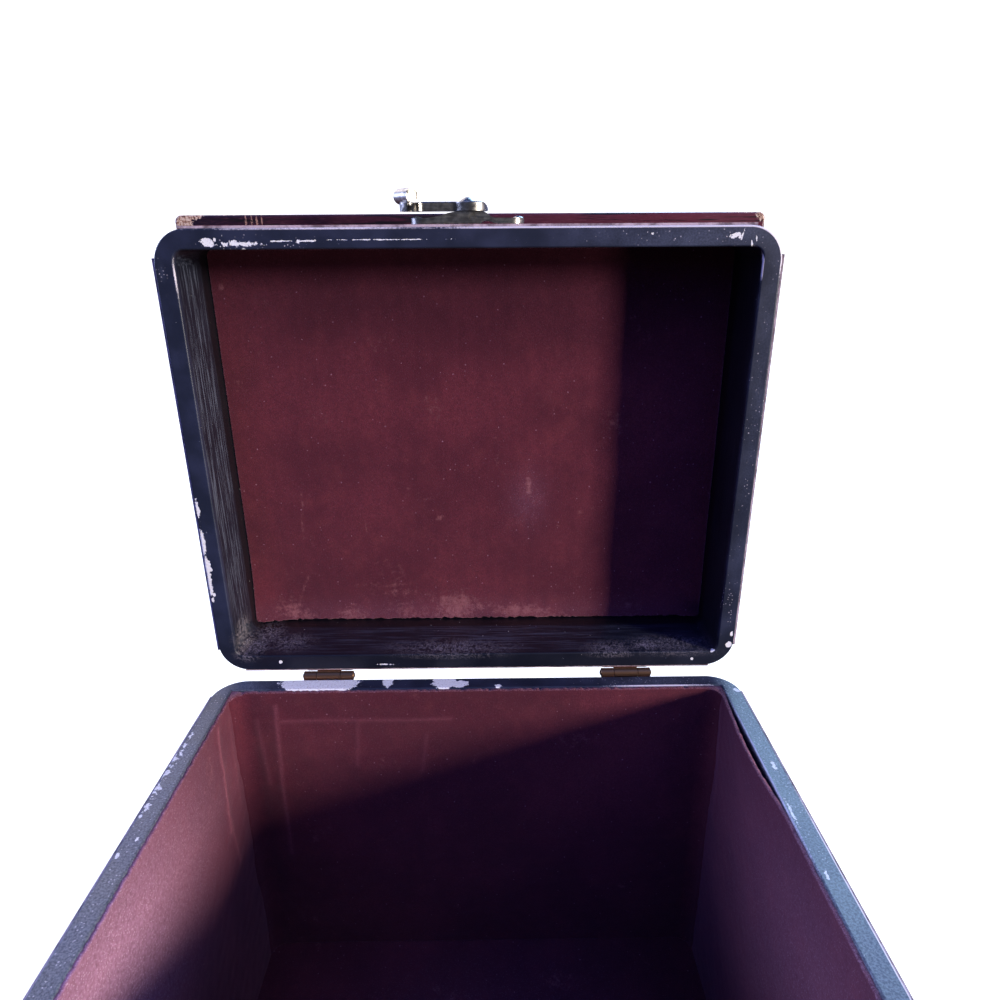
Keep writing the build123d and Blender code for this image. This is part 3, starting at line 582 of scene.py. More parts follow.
        # rubbed edges, partly painted highlights
        base = put("MixRGB", put("Math", self.rubbed(coat), 0.9, **TIMES), base, self.pale)
        chalk = put("MixRGB", put("MapRange", grit, 0.3, 0.45), self.ground_grain, self.ground)
        base = put("MixRGB", bare, base, chalk)
        worn = put("Math", put("Math", dusty, bare, **LARGER), 0.42, **TIMES)
        gloss = put("Math", put("MapRange", cloud, 0.3, 0.8, 0.36, 0.48), worn, **PLUS)
        brushed = put("Math", strokes, put("MapRange", below, 0.0, 1.0, 0.25, 1.0), **TIMES)
        relief = put("Math", bare, -1.5, brushed, **TIMES_PLUS)
        normal = put("Bump", {"Strength": 0.7, "Distance": 0.16 * MM, "Height": relief})
        return put("BsdfPrincipled", base, 0.0, gloss, 1.5, None, normal)


@dataclass(frozen=True)
class RedLacquer(Finish):
    """Oil lacquer on solid board: a dark wine red that goes from nearly black on the left to a warm red on
    the right, with black and pink streaks along the grain, tan scratches, and brown wood on the corners."""

    chips: tuple[Mark, ...] = ()
    scratches: tuple[Mark, ...] = ()
    red: str = "#5e2733"
    black: str = "#131115"
    pink: str = "#84525c"
    wood: str = "#94644c"
    pale: str = "#dcc3ab"
    char: str = "#2a2426"
    scratch: str = "#c79a84"
    drift: tuple[tuple[float, str], ...] = ((0.18, "#1b1020"), (0.42, "#351521"), (0.75, "#4a1e2a"))

    def surface(self, tree: Tree, place: Socket) -> Socket:
        """Builds the shader from the drift along X, streaks along the grain, scratches and knocked wood."""
        put = partial(add, tree)
        slim = put("Mapping", place, None, None, (every(40.0), every(2.6), every(1.7)))
        streaks = put("TexNoise", slim, None, 1.0, 4.0, 0.6)
        thin = put("Mapping", place, (0.3, 0.2, 0.1), None, (every(14.0), every(0.9), every(0.7)))
        fine = put("TexNoise", thin)
        cloud = put("TexNoise", place, None, every(30.0), 3.0)
        grit = put("TexNoise", place, None, every(0.9), 4.0, 0.7)
        rightward = put("MapRange", put("SeparateXYZ", place), -0.13, 0.13)
        drift = put("Math", cloud, 0.35, rightward, **TIMES_PLUS)
        base = put("ValToRGB", drift, stops=[*self.drift, (1.0, self.red)])
        base = put("MixRGB", put("MapRange", fine, 0.55, 0.75, 0.0, 0.5, **SMOOTH), base, self.pink)
        base = put("MixRGB", put("MapRange", streaks, 0.54, 0.62, 0.0, 0.9, **SMOOTH), base, self.black)
        uneven = put("Math", grit, 1.3, -0.65, **TIMES_PLUS)
        bare = put("MapRange", put("Math", uneven, marked(tree, place, self.chips), **PLUS), 0.5, 0.56)
        split = put("ValToRGB", grit, stops=[(0.38, self.char), (0.46, self.wood), (0.6, self.pale)])
        base = put("MixRGB", bare, base, split)
        scored = put("Math", marked(tree, place, self.scratches), put("MapRange", grit, 0.35, 0.55), **TIMES)
        base = put("MixRGB", put("MapRange", scored, 0.3, 0.7, 0.0, 0.6), base, self.scratch)
        gloss = put("Math", bare, 0.5, put("MapRange", cloud, 0.3, 0.8, 0.26, 0.4), **TIMES_PLUS)
        relief = put("Math", bare, -1.5, streaks, **TIMES_PLUS)
        normal = put("Bump", {"Strength": 0.5, "Distance": 0.14 * MM, "Height": relief})
        coat = {"Coat Weight": 0.3, "Coat Roughness": 0.15}
        return put("BsdfPrincipled", base, 0.0, gloss, 1.5, None, normal, coat)


@dataclass(frozen=True)
class RedPanel(Finish):
    """Lacquered leathercloth on card: a fine pebble grain in a wine-red skin, darker in the valleys, with a
    soft gloss, a dull bloom where it is handled, and the card's own tone on its cut edges."""

    case: CaseFrame
    skin: Triple  # how far out the panels' faces are along each axis of the pattern frame, in millimetres
    cut: str = "#6d5c62"
    cut_light: str = "#bfaab0"
    red: str = "#6a1d2a"
    deep: str = "#35101a"
    bloom: str = "#87434c"
    pebble: float = 1.3  # millimetres

    def surface(self, tree: Tree, place: Socket) -> Socket:
        """Builds the shader from the pebbles, a slow bloom and, behind the face, the cut edges."""
        put = partial(add, tree)
        cells = put("TexVoronoi", place, None, every(self.pebble), out="Distance", feature="SMOOTH_F1")
        cloud = put("TexNoise", place, None, every(38.0), 4.0)
        fine = put("TexNoise", place, None, every(0.5), 2.0)
        base = put("MixRGB", put("MapRange", cells, 0.2, 0.75, **SMOOTH), self.red, self.deep)
        base = put("MixRGB", put("MapRange", cloud, 0.48, 0.85, 0.0, 0.3, **SMOOTH), base, self.bloom)
        out = put("VectorMath", self.case.spot(tree, place), operation="ABSOLUTE")
        gaps = put("VectorMath", tuple(s * MM for s in self.skin), out, operation="SUBTRACT")
        gap = put("SeparateXYZ", gaps).node.outputs
        nearest = put("Math", put("Math", gap[0], gap[1], operation="MINIMUM"), gap[2], operation="MINIMUM")
        sawn = put("MapRange", nearest, 0.06 * MM, 0.14 * MM)
        rough_cut = put("TexNoise", place, None, every(9.0), 4.0, 0.7)
        card = put("MixRGB", put("MapRange", rough_cut, 0.38, 0.56), self.cut, self.cut_light)
        base = put("MixRGB", sawn, base, card)
        handled = put("Math", cells, 0.4, cloud, **TIMES_PLUS)
        gloss = put("Math", sawn, 0.4, put("MapRange", handled, 0.4, 1.1, 0.32, 0.6), **TIMES_PLUS)
        relief = put("Math", fine, 0.2, put("Math", cells, -1.0, **TIMES), **TIMES_PLUS)
        normal = put("Bump", {"Strength": 0.7, "Distance": 0.16 * MM, "Height": relief})
        return put("BsdfPrincipled", base, 0.0, gloss, 1.5, None, normal)


@dataclass(frozen=True)
class Flock(Finish):
    """Rayon flock on card: a matt wine red with a soft nap that whitens at a grazing look, cloudy where the
    nap lies over, brown and bald where it is rubbed, with lint on it and pale fibres along cut edges. Painted
    light makes it pinker and paler with more pale specks, and painted shade darkens it towards a cold purple."""

    nap: str = "#642933"
    shade: str = "#52202b"
    warm: str = "#6e3235"
    rubbed: str = "#8e5757"
    painted_light_tone: str = "#d9a2c0"
    speck: str = "#f2cfdf"
    cut: str = "#c3909a"
    lint: str = "#c08c9a"
    crease: str = "#9a5660"
    # painted shade: the tint that the painted shade attribute multiplies into the nap
    shadow: str = "#a6a4d0"
    fibre: float = 0.5  # millimetres, drawn coarser than the real 0.02 so that it shows

    def surface(self, tree: Tree, place: Socket) -> Socket:
        """Builds the shader from nap clouds, rub marks, lint and the cut edges' fibres."""
        put = partial(add, tree)
        worn, edge, painted_shade, pale, crease = (
            put("Attribute", out="Fac", attribute_name=name, attribute_type="GEOMETRY")
            for name in ("worn", "edge", "painted_shade", "pale", "crease")
        )
        cloud = put("TexNoise", place, None, every(36.0), 3.0)
        lay = put("TexNoise", place, None, every(9.0), 4.0, 0.6)
        mottle = put("TexNoise", place, None, every(1.5), 3.0, 0.65)
        fibres = put("TexNoise", place, None, every(self.fibre), 2.0, 0.7)
        base = put("MixRGB", put("MapRange", cloud, 0.35, 0.7, **SMOOTH), self.shade, self.nap)
        base = put("MixRGB", put("MapRange", lay, 0.48, 0.8, 0.0, 0.35, **SMOOTH), base, self.warm)
        base = put("MixRGB", put("MapRange", mottle, 0.35, 0.7, 0.0, 0.6, **SMOOTH), base, self.shade)
        rub = put("Math", mottle, 0.9, worn, **TIMES_PLUS)
        base = put("MixRGB", put("MapRange", rub, 0.87, 1.4, 0.0, 0.75, **SMOOTH), base, self.rubbed)
        lined = put("Math", crease, put("MapRange", mottle, 0.3, 0.65, 0.45, 1.0), **TIMES)
        base = put("MixRGB", lined, base, self.crease)
        ragged = shaken(tree, place, 0.8, 0.8)
        cells = put("TexVoronoi", ragged, None, every(3.0), out="Distance").node.outputs
        bit = put("MapRange", cells["Distance"], 0.14, 0.05)
        bit = put("Math", bit, put("MapRange", put("SeparateColor", cells["Color"]), 0.62, 0.9), **TIMES)
        base = put("MixRGB", put("Math", bit, 0.45, **TIMES), base, self.lint)
        grains = put("MapRange", put("TexVoronoi", ragged, None, every(0.9), out="Distance"), 0.3, 0.1)
        # pale specks, drawn thicker where painted light is
        grainy = put("Math", grains, put("Math", pale, 1.1, 0.03, **TIMES_PLUS), **TIMES)
        frayed = put("Math", edge, put("MapRange", fibres, 0.38, 0.62, 0.0, 0.3, **SMOOTH), **TIMES)
        base = put("MixRGB", frayed, base, self.cut)
        fine = put("MapRange", fibres, 0.3, 0.72, 0.74, 1.2)
        base = put("MixRGB", 1.0, base, fine, blend_type="MULTIPLY")
        # painted light: pinker and paler where the painted light fields put it
        painted_light_mask = put("Math", pale, put("MapRange", mottle, 0.3, 0.7, 0.6, 1.3), **TIMES)
        base = put("MixRGB", painted_light_mask, base, self.painted_light_tone)
        base = put("MixRGB", grainy, base, self.speck)
        # painted shade: the nap is multiplied towards the shadow tint where the painted shade attribute
        # stands
        base = put("MixRGB", painted_shade, base, self.shadow, blend_type="MULTIPLY")
        relief = put("Math", lay, 1.5, fibres, **TIMES_PLUS)
        normal = put("Bump", {"Strength": 0.7, "Distance": 0.2 * MM, "Height": relief})
        sheen = {"Sheen Weight": 0.35, "Sheen Roughness": 0.5, "Sheen Tint": "#e0a8b4"}
        return put("BsdfPrincipled", base, 0.0, 0.95, 1.5, None, normal, {"Specular IOR Level": 0.1, **sheen})


@dataclass(frozen=True)
class Metal(Finish):
    """Worn cast or stamped metal: a satin sheen with small tool marks, and dull tarnish in patches."""

    bright: str
    dull: str
    stain: str
    gloss: tuple[float, float] = (0.26, 0.44)
    tarnish: float = 0.55  # noise level from which tarnish shows

    def surface(self, tree: Tree, place: Socket) -> Socket:
        """Builds the shader from hammered lumps, fine scratches and tarnish."""
        put = partial(add, tree)
        lumps = put("TexNoise", place, None, every(2.6), 3.0)
        stains = put("TexNoise", place, None, every(4.2), 4.0, 0.65)
        thin = put("Mapping", place, None, None, (every(6.0), every(0.25), every(0.5)))
        scratch = put("TexNoise", thin, None, 1.0, 3.0, 0.6)
        base = put("MixRGB", put("MapRange", lumps, 0.35, 0.7, **SMOOTH), self.dull, self.bright)
        aged = put("MapRange", stains, self.tarnish, self.tarnish + 0.16, 0.0, 0.85, **SMOOTH)
        base = put("MixRGB", aged, base, self.stain)
        gloss = put("Math", aged, 0.3, put("MapRange", scratch, 0.3, 0.75, *self.gloss), **TIMES_PLUS)
        relief = put("Math", scratch, 0.3, lumps, **TIMES_PLUS)
        normal = put("Bump", {"Strength": 0.45, "Distance": 0.18 * MM, "Height": relief})
        return put("BsdfPrincipled", base, 1.0, gloss, None, None, normal)


@dataclass(frozen=True)
class PaperSweep(Finish):
    """Seamless photographer's paper, lit from behind so that it stays pale: matt, with the faintest tooth."""

    tone: str = "#bdbdbd"
    glow: float = 0.94

    def surface(self, tree: Tree, place: Socket) -> Socket:
        """Builds the shader from a soft glow under a matt white."""
        tooth = add(tree, "TexNoise", place, None, every(60.0), 2.0)
        base = add(tree, "MixRGB", tooth, self.tone, "#c3c3c3")
        glow = {"Emission Color": "#ffffff", "Emission Strength": self.glow}
        return add(tree, "BsdfPrincipled", base, 0.0, 0.9, glow)


def waves(across: np.ndarray, up: np.ndarray, size: float, seed: int, count: int = 9) -> np.ndarray:
    """Slow random field: the mean of plane cosine waves in seeded directions, size long, give or take half.

    Args:
        across: first coordinate, in millimetres.
        up: second coordinate, in millimetres.
        size: mean wave length in millimetres.
        seed: which field.
        count: how many waves.

    Returns:
        The field, mostly within 1 of 0.
    """
    random = np.random.default_rng(seed)
    total = np.zeros_like(across)
    for _ in range(count):
        angle, phase = random.uniform(0, 2 * math.pi, 2)
        number = 2 * math.pi / (size * random.uniform(0.6, 1.6))
        total += np.cos(number * (across * math.cos(angle) + up * math.sin(angle)) + phase)
    return total / math.sqrt(count / 2)


def closed_sheet(name: str, front: np.ndarray, back: np.ndarray) -> bpy.types.Object:
    """Joins two equal grids into one closed sheet: quads on both faces, and a strip round the border.

    Args:
        name: the piece's name.
        front: points of the visible face, rows by columns by 3, in metres.
        back: points of the hidden face.

    Returns:
        The new object, with smooth shading and its normals outwards.
    """
    rows, columns = front.shape[:2]
    near = np.arange(rows * columns).reshape(rows, columns)
    far = near + rows * columns
    faces = [
        np.stack([g[:-1, :-1], g[1:, :-1], g[1:, 1:], g[:-1, 1:]][::way], -1).reshape(-1, 4)
        for g, way in ((near, 1), (far, -1))
    ]
    border = [np.concatenate([g[0, :-1], g[:-1, -1], g[-1, :0:-1], g[:0:-1, 0]]) for g in (near, far)]
    ring = np.stack([border[0], np.roll(border[0], -1), np.roll(border[1], -1), border[1]], -1)
    mesh = bpy.data.meshes.new(name)
    points = np.concatenate([front.reshape(-1, 3), back.reshape(-1, 3)])
    mesh.from_pydata(points.tolist(), [], np.concatenate([*faces, ring]).tolist())
    shell = bmesh.new()
    shell.from_mesh(mesh)
    bmesh.ops.recalc_face_normals(shell, faces=shell.faces)
    shell.to_mesh(mesh)
    shell.free()
    mesh.polygons.foreach_set("use_smooth", np.ones(len(mesh.polygons), bool))
    piece = bpy.data.objects.new(name, mesh)
    bpy.context.scene.collection.objects.link(piece)
    return piece


@dataclass(frozen=True)
class Fold:
    """A soft ridge in a lining, along a line between two places, with a height and a half width, all in
    millimetres. Its top is rubbed pale as a line about a millimetre to each side, by the amount of wear."""

    start: tuple[float, float]
    end: tuple[float, float]
    height: float = 0.5
    width: float = 2.5
    wear: float = 0.6

    def ridge(self, across: np.ndarray, up: np.ndarray) -> np.ndarray:
        """Outline of the ridge: e^-((distance / width)^2), with the distance to the line between its ends.

        Args:
            across: first coordinate, in millimetres.
            up: second coordinate, in millimetres.

        Returns:
            1 on the line, and less beside it.
        """
        run = np.array(self.end) - np.array(self.start)
        x, y = across - self.start[0], up - self.start[1]
        share = np.clip((x * run[0] + y * run[1]) / (run @ run), 0, 1)
        return np.exp(-((np.hypot(x - share * run[0], y - share * run[1]) / self.width) ** 2))


@dataclass(frozen=True)
class Rub:
    """A spot on a lining, in millimetres: its middle, half sizes, turn in degrees and strength."""

    middle: tuple[float, float]
    reach: tuple[float, float]
    turn: float = 0.0
    strength: float = 1.0

    def field(self, across: np.ndarray, up: np.ndarray) -> np.ndarray:
        """Strength times exp(-(a^2 + b^2)), with a and b counted from the middle in half sizes."""
        angle = math.radians(self.turn)
        x, y = across - self.middle[0], up - self.middle[1]
        a = (x * math.cos(angle) + y * math.sin(angle)) / self.reach[0]
        b = (y * math.cos(angle) - x * math.sin(angle)) / self.reach[1]
        return self.strength * np.exp(-(a**2 + b**2))


def summed(rubs: tuple[Rub, ...], across: np.ndarray, up: np.ndarray) -> np.ndarray:
    """Sum of the spots' fields, 0 where there are none."""
    return sum((rub.field(across, up) for rub in rubs), np.zeros_like(across))


@dataclass(frozen=True)
class Peel:
    """A stretch of a lining's upper edge that stands off its wall: height * e^-((depth / fall)^2) * bump."""

    start: float
    end: float
    height: float
    fall: float
    ramps: tuple[float, float] = (12.0, 12.0)

    def field(self, across: np.ndarray, below: np.ndarray) -> np.ndarray:
        """How far the sheet stands off, by place along the edge and depth below it, in millimetres."""
        rise = np.clip((across - self.start) / self.ramps[0], 0, 1)
        drop = np.clip((self.end - across) / self.ramps[1], 0, 1)
        bump = (rise**2 * (3 - 2 * rise)) * (drop**2 * (3 - 2 * drop))
        return self.height * bump * np.exp(-((below / self.fall) ** 2))


@dataclass
class Lining:
    """One flocked card: a thin closed sheet in the place of its CAD node, warped, creased and worn.

    The sheet's axes are numbers, 0 for X, 1 for Y and 2 for Z. Its front is where facing points.
    """

    node: str
    body: str
    across: int
    up: int
    facing: tuple[int, int]  # axis and sign
    top: int = 1  # which end of the up axis is the free edge: 1 high, -1 low, 0 none
    spacing: float = 1.6
    warp: float = 0.22
    ragged: float = 0.3
    round: float = 0.5
    proud: float = 0.0  # how far the free edge reaches past the CAD card
    cove: float = 0.0  # radius where it turns into the cards beside it
    seed: int = 1
    folds: tuple[Fold, ...] = ()
    rubs: tuple[Rub, ...] = ()
    peels: tuple[Peel, ...] = ()
    lift: tuple[Rub, ...] = ()  # places where the edge curls up off the board
    shade: tuple[Rub, ...] = ()  # painted shade: places where the nap is drawn darker
    painted_light: tuple[Rub, ...] = ()  # painted light: places where the nap is drawn paler and pinker
    piece: bpy.types.Object | None = field(default=None, init=False)

    def stations(self, low: float, high: float) -> np.ndarray:
        """Places along one side, in millimetres: close together at both ends, then evenly spaced.

        Args:
            low: where the side starts.
            high: where it ends.

        Returns:
            The places, in rising order.
        """
        ends = np.array([0.0, 0.12, 0.3, 0.6, 1.0])
        count = max(2, round((high - low - 2) / self.spacing))
        middle = np.linspace(low + ends[-1], high - ends[-1], count + 1)[1:-1]
        return np.concatenate([low + ends, middle, high - ends[::-1]])

    def bulge(self, a: np.ndarray, b: np.ndarray, inset: np.ndarray) -> np.ndarray:
        """How far the face stands out from the card's: slow and fine warp, folds and coves.

        A cove lets the nap run round into the next wall: c * (1 - sqrt(1 - s^2)), where s goes from 0 at the
        distance c from the corner to 1 in it.

        Args:
            a: first coordinate of each point, in millimetres.
            b: second coordinate.
            inset: distance to the nearest border.

        Returns:
            The height over the card's face, in millimetres.
        """
        shape = self.warp * waves(a, b, WARP_SIZE, self.seed) * np.clip(inset / 8, 0, 1)
        shape += RIPPLE_HEIGHT * waves(a, b, RIPPLE_SIZE, self.seed + 50) * np.clip(inset / 3, 0, 1)
        for fold in self.folds:
            shape += fold.height * fold.ridge(a, b)
        if self.cove:
            side = np.clip(1 - (np.minimum(a - a.min(), a.max() - a) - 1.4) / self.cove, 0, 1)
            shape += self.cove * (1 - np.sqrt(1 - side**2))
        return shape

    def wear(self, a: np.ndarray, b: np.ndarray, inset: np.ndarray) -> dict[str, np.ndarray]:
        """Works out the fields that the flock's material reads.

        Args:
            a: first coordinate of each point, in millimetres.
            b: second coordinate.
            inset: distance to the nearest border.

        Returns:
            How worn, near the edge, darkened by painted shade, brightened by painted light and creased each
            point is.
        """
        clouds, mottle = waves(a, b, CLOUD_SIZE, self.seed + 10), waves(a, b, MOTTLE_SIZE, self.seed + 20)
        creases = [fold.wear * fold.ridge(a, b) ** (fold.width**2) for fold in self.folds]
        return {
            "worn": 0.16 + 0.12 * clouds + 0.06 * mottle + summed(self.rubs, a, b),
            "edge": np.exp(-((inset / 0.5) ** 2)),
            "painted_shade": np.clip(summed(self.shade, a, b), 0, 1),
            "pale": summed(self.painted_light, a, b),
            "crease": np.maximum.reduce([np.zeros_like(a), *creases]),
        }

    def build(self) -> bpy.types.Object:
        """Makes the sheet: front = card's face + bulge + lift, less a quarter round at its border."""
        low, high = (np.array(corner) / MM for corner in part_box(self.node))
        high[self.up] += self.proud
        axis, sign = self.facing
        across = self.stations(low[self.across], high[self.across])
        up = self.stations(low[self.up], high[self.up])
        a, b = np.meshgrid(across, up, indexing="ij")
        inset = np.minimum.reduce([a - across[0], across[-1] - a, b - up[0], up[-1] - b])
        below = (up[-1] - b) if self.top > 0 else (b - up[0])

        off = summed(self.lift, a, b)
        for peel in self.peels:
            off += peel.field(a, below)
        near = np.clip(1 - inset / self.round, 0, 1)
        soft = self.round * (1 - np.sqrt(1 - near**2))
        front = (high[axis] - low[axis] + self.bulge(a, b, inset) + off - soft) * sign
        start = low[axis] if sign > 0 else high[axis]
        fray = self.ragged * waves(a, b * 0.3, FRAY_SIZE, self.seed + 30, 14) * np.exp(-((below / 0.8) ** 2))
        grids = []
        for level in (front, off * sign):
            grid = np.zeros(a.shape + (3,))
            grid[..., self.across], grid[..., self.up] = a, b - np.abs(fray) * self.top
            grid[..., axis] = start + level
            grids.append(grid * MM)
        name = self.node.replace("box_", "flocked_").replace("lid_", "flocked_lid_")
        self.piece = closed_sheet(name, *grids)
        for label, value in self.wear(a, b, inset).items():
            layer = self.piece.data.attributes.new(label, "FLOAT", "POINT")
            layer.data.foreach_set("value", np.concatenate([value.ravel()] * 2).astype(np.float32))
        return self.piece

    def dress(self, material: bpy.types.Material) -> None:
        """Gives the sheet its flock and its body, and hides the CAD node that it stands for.

        Args:
            material: the flock.
        """
        self.piece.data.materials.append(material)
        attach(self.piece, self.body)
        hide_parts(self.node)


@dataclass
class SubAssembly:
    """One group of the box's pieces: the CAD nodes that keep their shape, and the cards made here."""

    title: str = ""
    finishes: tuple[tuple[Finish, tuple[str, ...]], ...] = ()
    cards: tuple[Lining, ...] = ()
    flock: Flock = Flock("rayon_flock_on_card")

    def build(self) -> None:
        """Makes the cards and dresses them in flock."""
        for card in self.cards:
            piece = card.build()
            card.dress(self.flock.material())
            LOG.info("%s: %s, %d faces", self.title, piece.name, len(piece.data.polygons))

    def dress(self) -> None:
        """Puts each finish on its nodes."""
        for finish, names in self.finishes:
            material = finish.material()
            for name in names:
                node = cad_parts[name]
                node.data.materials.clear()
                node.data.materials.append(material)
                LOG.info("%s: %s in %s", self.title, name, material.name)


def far_out(low_node: str, high_node: str, axis: int) -> float:
    """Half the distance between two panels' outer faces along an axis, in millimetres."""
    return (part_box(high_node)[1][axis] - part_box(low_node)[0][axis]) / 2 / MM


BOX_SKIN = RedPanel(
    "leathercloth_on_body",
    BODY_CASE,
    (far_out("box_left_panel", "box_right_panel", 0), far_out("box_front_panel", "box_back_panel", 1), FAR),
)
LID_SKIN = RedPanel(
    "leathercloth_on_lid",
    LID_CASE,
    (far_out("lid_left_panel", "lid_right_panel", 0), far_out("lid_back_panel", "lid_front_panel", 2), FAR),
)
LID_TOP_SKIN = RedPanel(
    "leathercloth_on_lid_top",
    LID_CASE,
    (FAR, FAR, (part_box("lid_top_panel")[1][1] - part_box("lid_corner_posts")[0][1]) / MM),
)


@dataclass
class Body(SubAssembly):
    """The body: painted walls and posts, leathercloth panels, a lacquered bottom and five flocked cards."""

    title: str = "body"
    finishes: tuple[tuple[Finish, tuple[str, ...]], ...] = (
        (
            BlackPaint("black_enamel_body_boards", BODY_CASE, Grain.ACROSS),
            ("box_front_wall", "box_back_wall"),
        ),
        (BlackPaint("black_enamel_body_sides", BODY_CASE, Grain.DEPTH), ("box_left_wall", "box_right_wall")),
        (BlackPaint("black_enamel_body_posts", BODY_CASE, Grain.HEIGHT), ("box_corner_posts",)),
        (BOX_SKIN, ("box_front_panel", "box_back_panel", "box_left_panel", "box_right_panel")),
        (RedLacquer("red_lacquer_on_bottom"), ("box_bottom_board",)),
    )
    cards: tuple[Lining, ...] = (
        Lining(
            "box_back_lining", "box", 0, 2, (1, -1), seed=3, spacing=1.1, proud=0.6, cove=8.0,
            # painted shade next to the left corner
            shade=(Rub((-109.0, 110.0), (7.0, 90.0), 0.0, 0.5),),
            folds=(
                Fold((-106.5, 160.0), (-104.5, 122.0), 0.3, 2.2, 0.3),
                Fold((-96.6, 168.0), (-98.4, 120.0), 0.4, 2.6, 0.45),
                Fold((-98.4, 120.0), (-98.6, 76.0), 0.3, 3.0, 0.4),
                Fold((-95.0, 159.0), (-13.0, 159.4), 0.12, 1.4, 0.3),
                Fold((-58.0, 158.0), (-60.0, 132.0), 0.12, 1.6, 0.2),
                Fold((-25.0, 150.0), (-28.0, 128.0), 0.12, 1.6, 0.18),
            ),
        ),
        Lining("box_front_lining", "box", 0, 2, (1, 1), seed=5, proud=0.6),
        Lining(
            "box_left_lining", "box", 1, 2, (0, 1), seed=7, spacing=1.1, proud=0.6,
            folds=(
                Fold((69.8, 172.0), (67.4, 150.0), 0.4, 2.4, 0.75),
                Fold((67.4, 150.0), (64.3, 118.0), 0.4, 2.8, 0.65),
                Fold((66.0, 124.0), (68.5, 96.0), 0.3, 2.8, 0.4),
                Fold((82.0, 168.0), (79.0, 120.0), 0.2, 2.6, 0.15),
            ),
            rubs=(Rub((42.2, 165.0), (0.9, 2.8), -14.0, 0.6), Rub((47.9, 157.4), (0.8, 2.0), -12.0, 0.55)),
            # painted light on the lit front of the left wall
            painted_light=(Rub((-45.0, 145.0), (72.0, 50.0), 0.0, 0.62),),
        ),
        Lining(
            "box_right_lining", "box", 1, 2, (0, -1), seed=9, proud=0.6,
            folds=(Fold((84.0, 170.0), (78.0, 110.0), 0.35, 2.8, 0.25),),
            peels=(Peel(8.0, 98.0, 2.3, 26.0, (34.0, 50.0)),),
            # painted light towards the front of the right wall
            painted_light=(Rub((-30.0, 115.0), (100.0, 80.0), 0.0, 0.14),),
        ),
        Lining(
            "box_floor_lining", "box", 0, 1, (2, 1), top=0, seed=11,
            # painted light in the middle of the floor
            painted_light=(Rub((0.0, 0.0), (90.0, 70.0), 0.0, 0.12),),
        ),
    )


@dataclass
class Lid(SubAssembly):
    """The lid: painted rails and posts, a lacquered board and leathercloth panels, and one flocked card."""

    title: str = "lid"
    finishes: tuple[tuple[Finish, tuple[str, ...]], ...] = (
        (BlackPaint("black_enamel_lid_boards", LID_CASE, Grain.ACROSS), ("lid_front_rail", "lid_back_rail")),
        (BlackPaint("black_enamel_lid_sides", LID_CASE, Grain.DEPTH), ("lid_left_rail", "lid_right_rail")),
        (BlackPaint("black_enamel_lid_posts", LID_CASE, Grain.HEIGHT), ("lid_corner_posts",)),
        (LID_SKIN, ("lid_front_panel", "lid_back_panel", "lid_left_panel", "lid_right_panel")),
        (LID_TOP_SKIN, ("lid_top_panel",)),
        (
            RedLacquer(
                "red_lacquer_on_lid",
                chips=(
                    Mark(-126.5, 140.5, 5.5, 3.0, 1.2, z=385.5, half_z=5.0),
                    Mark(-120.0, 140.5, 4.0, 3.0, 0.95, z=387.5, half_z=2.2),
                    Mark(128.5, 140.5, 3.5, 3.0, 1.1, z=386.5, half_z=3.0),
                    Mark(120.0, 140.2, 12.0, 1.5, 0.75, z=387.6, half_z=0.8),
                    Mark(-106.0, 140.2, 10.0, 1.5, 0.7, z=387.6, half_z=0.7),
                ),
                scratches=(
                    Mark(-98.0, 139.8, 0.45, 1.5, 1.2, z=384.4, half_z=2.8),
                    Mark(-95.4, 139.8, 0.4, 1.5, 1.1, z=384.6, half_z=2.6),
                    Mark(-93.2, 139.8, 0.5, 1.5, 1.2, z=384.2, half_z=2.6),
                    Mark(-91.0, 139.8, 0.35, 1.5, z=385.0, half_z=2.2),
                ),
            ),
            ("lid_top_board",),
        ),
    )
    cards: tuple[Lining, ...] = (
        Lining(
            "lid_lining", "lid", 0, 2, (1, -1), top=-1, seed=13, spacing=1.4, ragged=0.5,
            rubs=(
                Rub((26.3, 262.3), (1.7, 8.0), 4.0, 0.6),
                Rub((-17.9, 245.5), (2.6, 1.5), 20.0, 0.6),
                Rub((51.6, 247.7), (2.2, 1.6), 0.0, 0.6),
                Rub((41.2, 240.8), (1.7, 2.2), 20.0, 0.55),
                Rub((-56.0, 240.4), (0.9, 5.0), 3.0, 0.55),
                Rub((-87.1, 250.0), (0.8, 17.0), -5.0, 0.4),
                Rub((-90.2, 207.5), (1.1, 8.5), -24.0, 0.45),
                Rub((-35.0, 203.0), (58.0, 4.5), -11.0, 0.3),
                Rub((-112.3, 357.4), (1.3, 1.2), 0.0, 1.0),
                # painted light: the brighter band along the lining's bottom, drawn as a brownish rub
                Rub((-30.0, 191.0), (110.0, 8.0), 0.0, 0.42),
            ),
            lift=(
                Rub((-119.0, 187.0), (14.0, 20.0), 0.0, 3.2),
                Rub((119.0, 260.0), (5.0, 70.0), 0.0, 1.6),
                Rub((119.0, 200.0), (8.0, 22.0), 0.0, 1.8),
            ),
            # painted shade under the top rail and in the lower right corner
            shade=(Rub((0.0, 358.0), (900.0, 27.0), 0.0, 0.72), Rub((117.0, 193.0), (7.0, 5.0), 0.0, 0.9)),
            # painted light along the lining's bottom and round a rub
            painted_light=(Rub((-20.0, 190.0), (140.0, 9.0), 0.0, 0.04), Rub((26.0, 255.0), (9.0, 14.0), 0.0, 0.05)),
        ),
    )


PEWTER = Metal("cast_pewter", "#c2bfba", "#8f8c88", "#45433f", (0.26, 0.44), 0.54)
BRASS = Metal("aged_brass", "#b39b7a", "#7f7260", "#596358", (0.34, 0.55), 0.5)


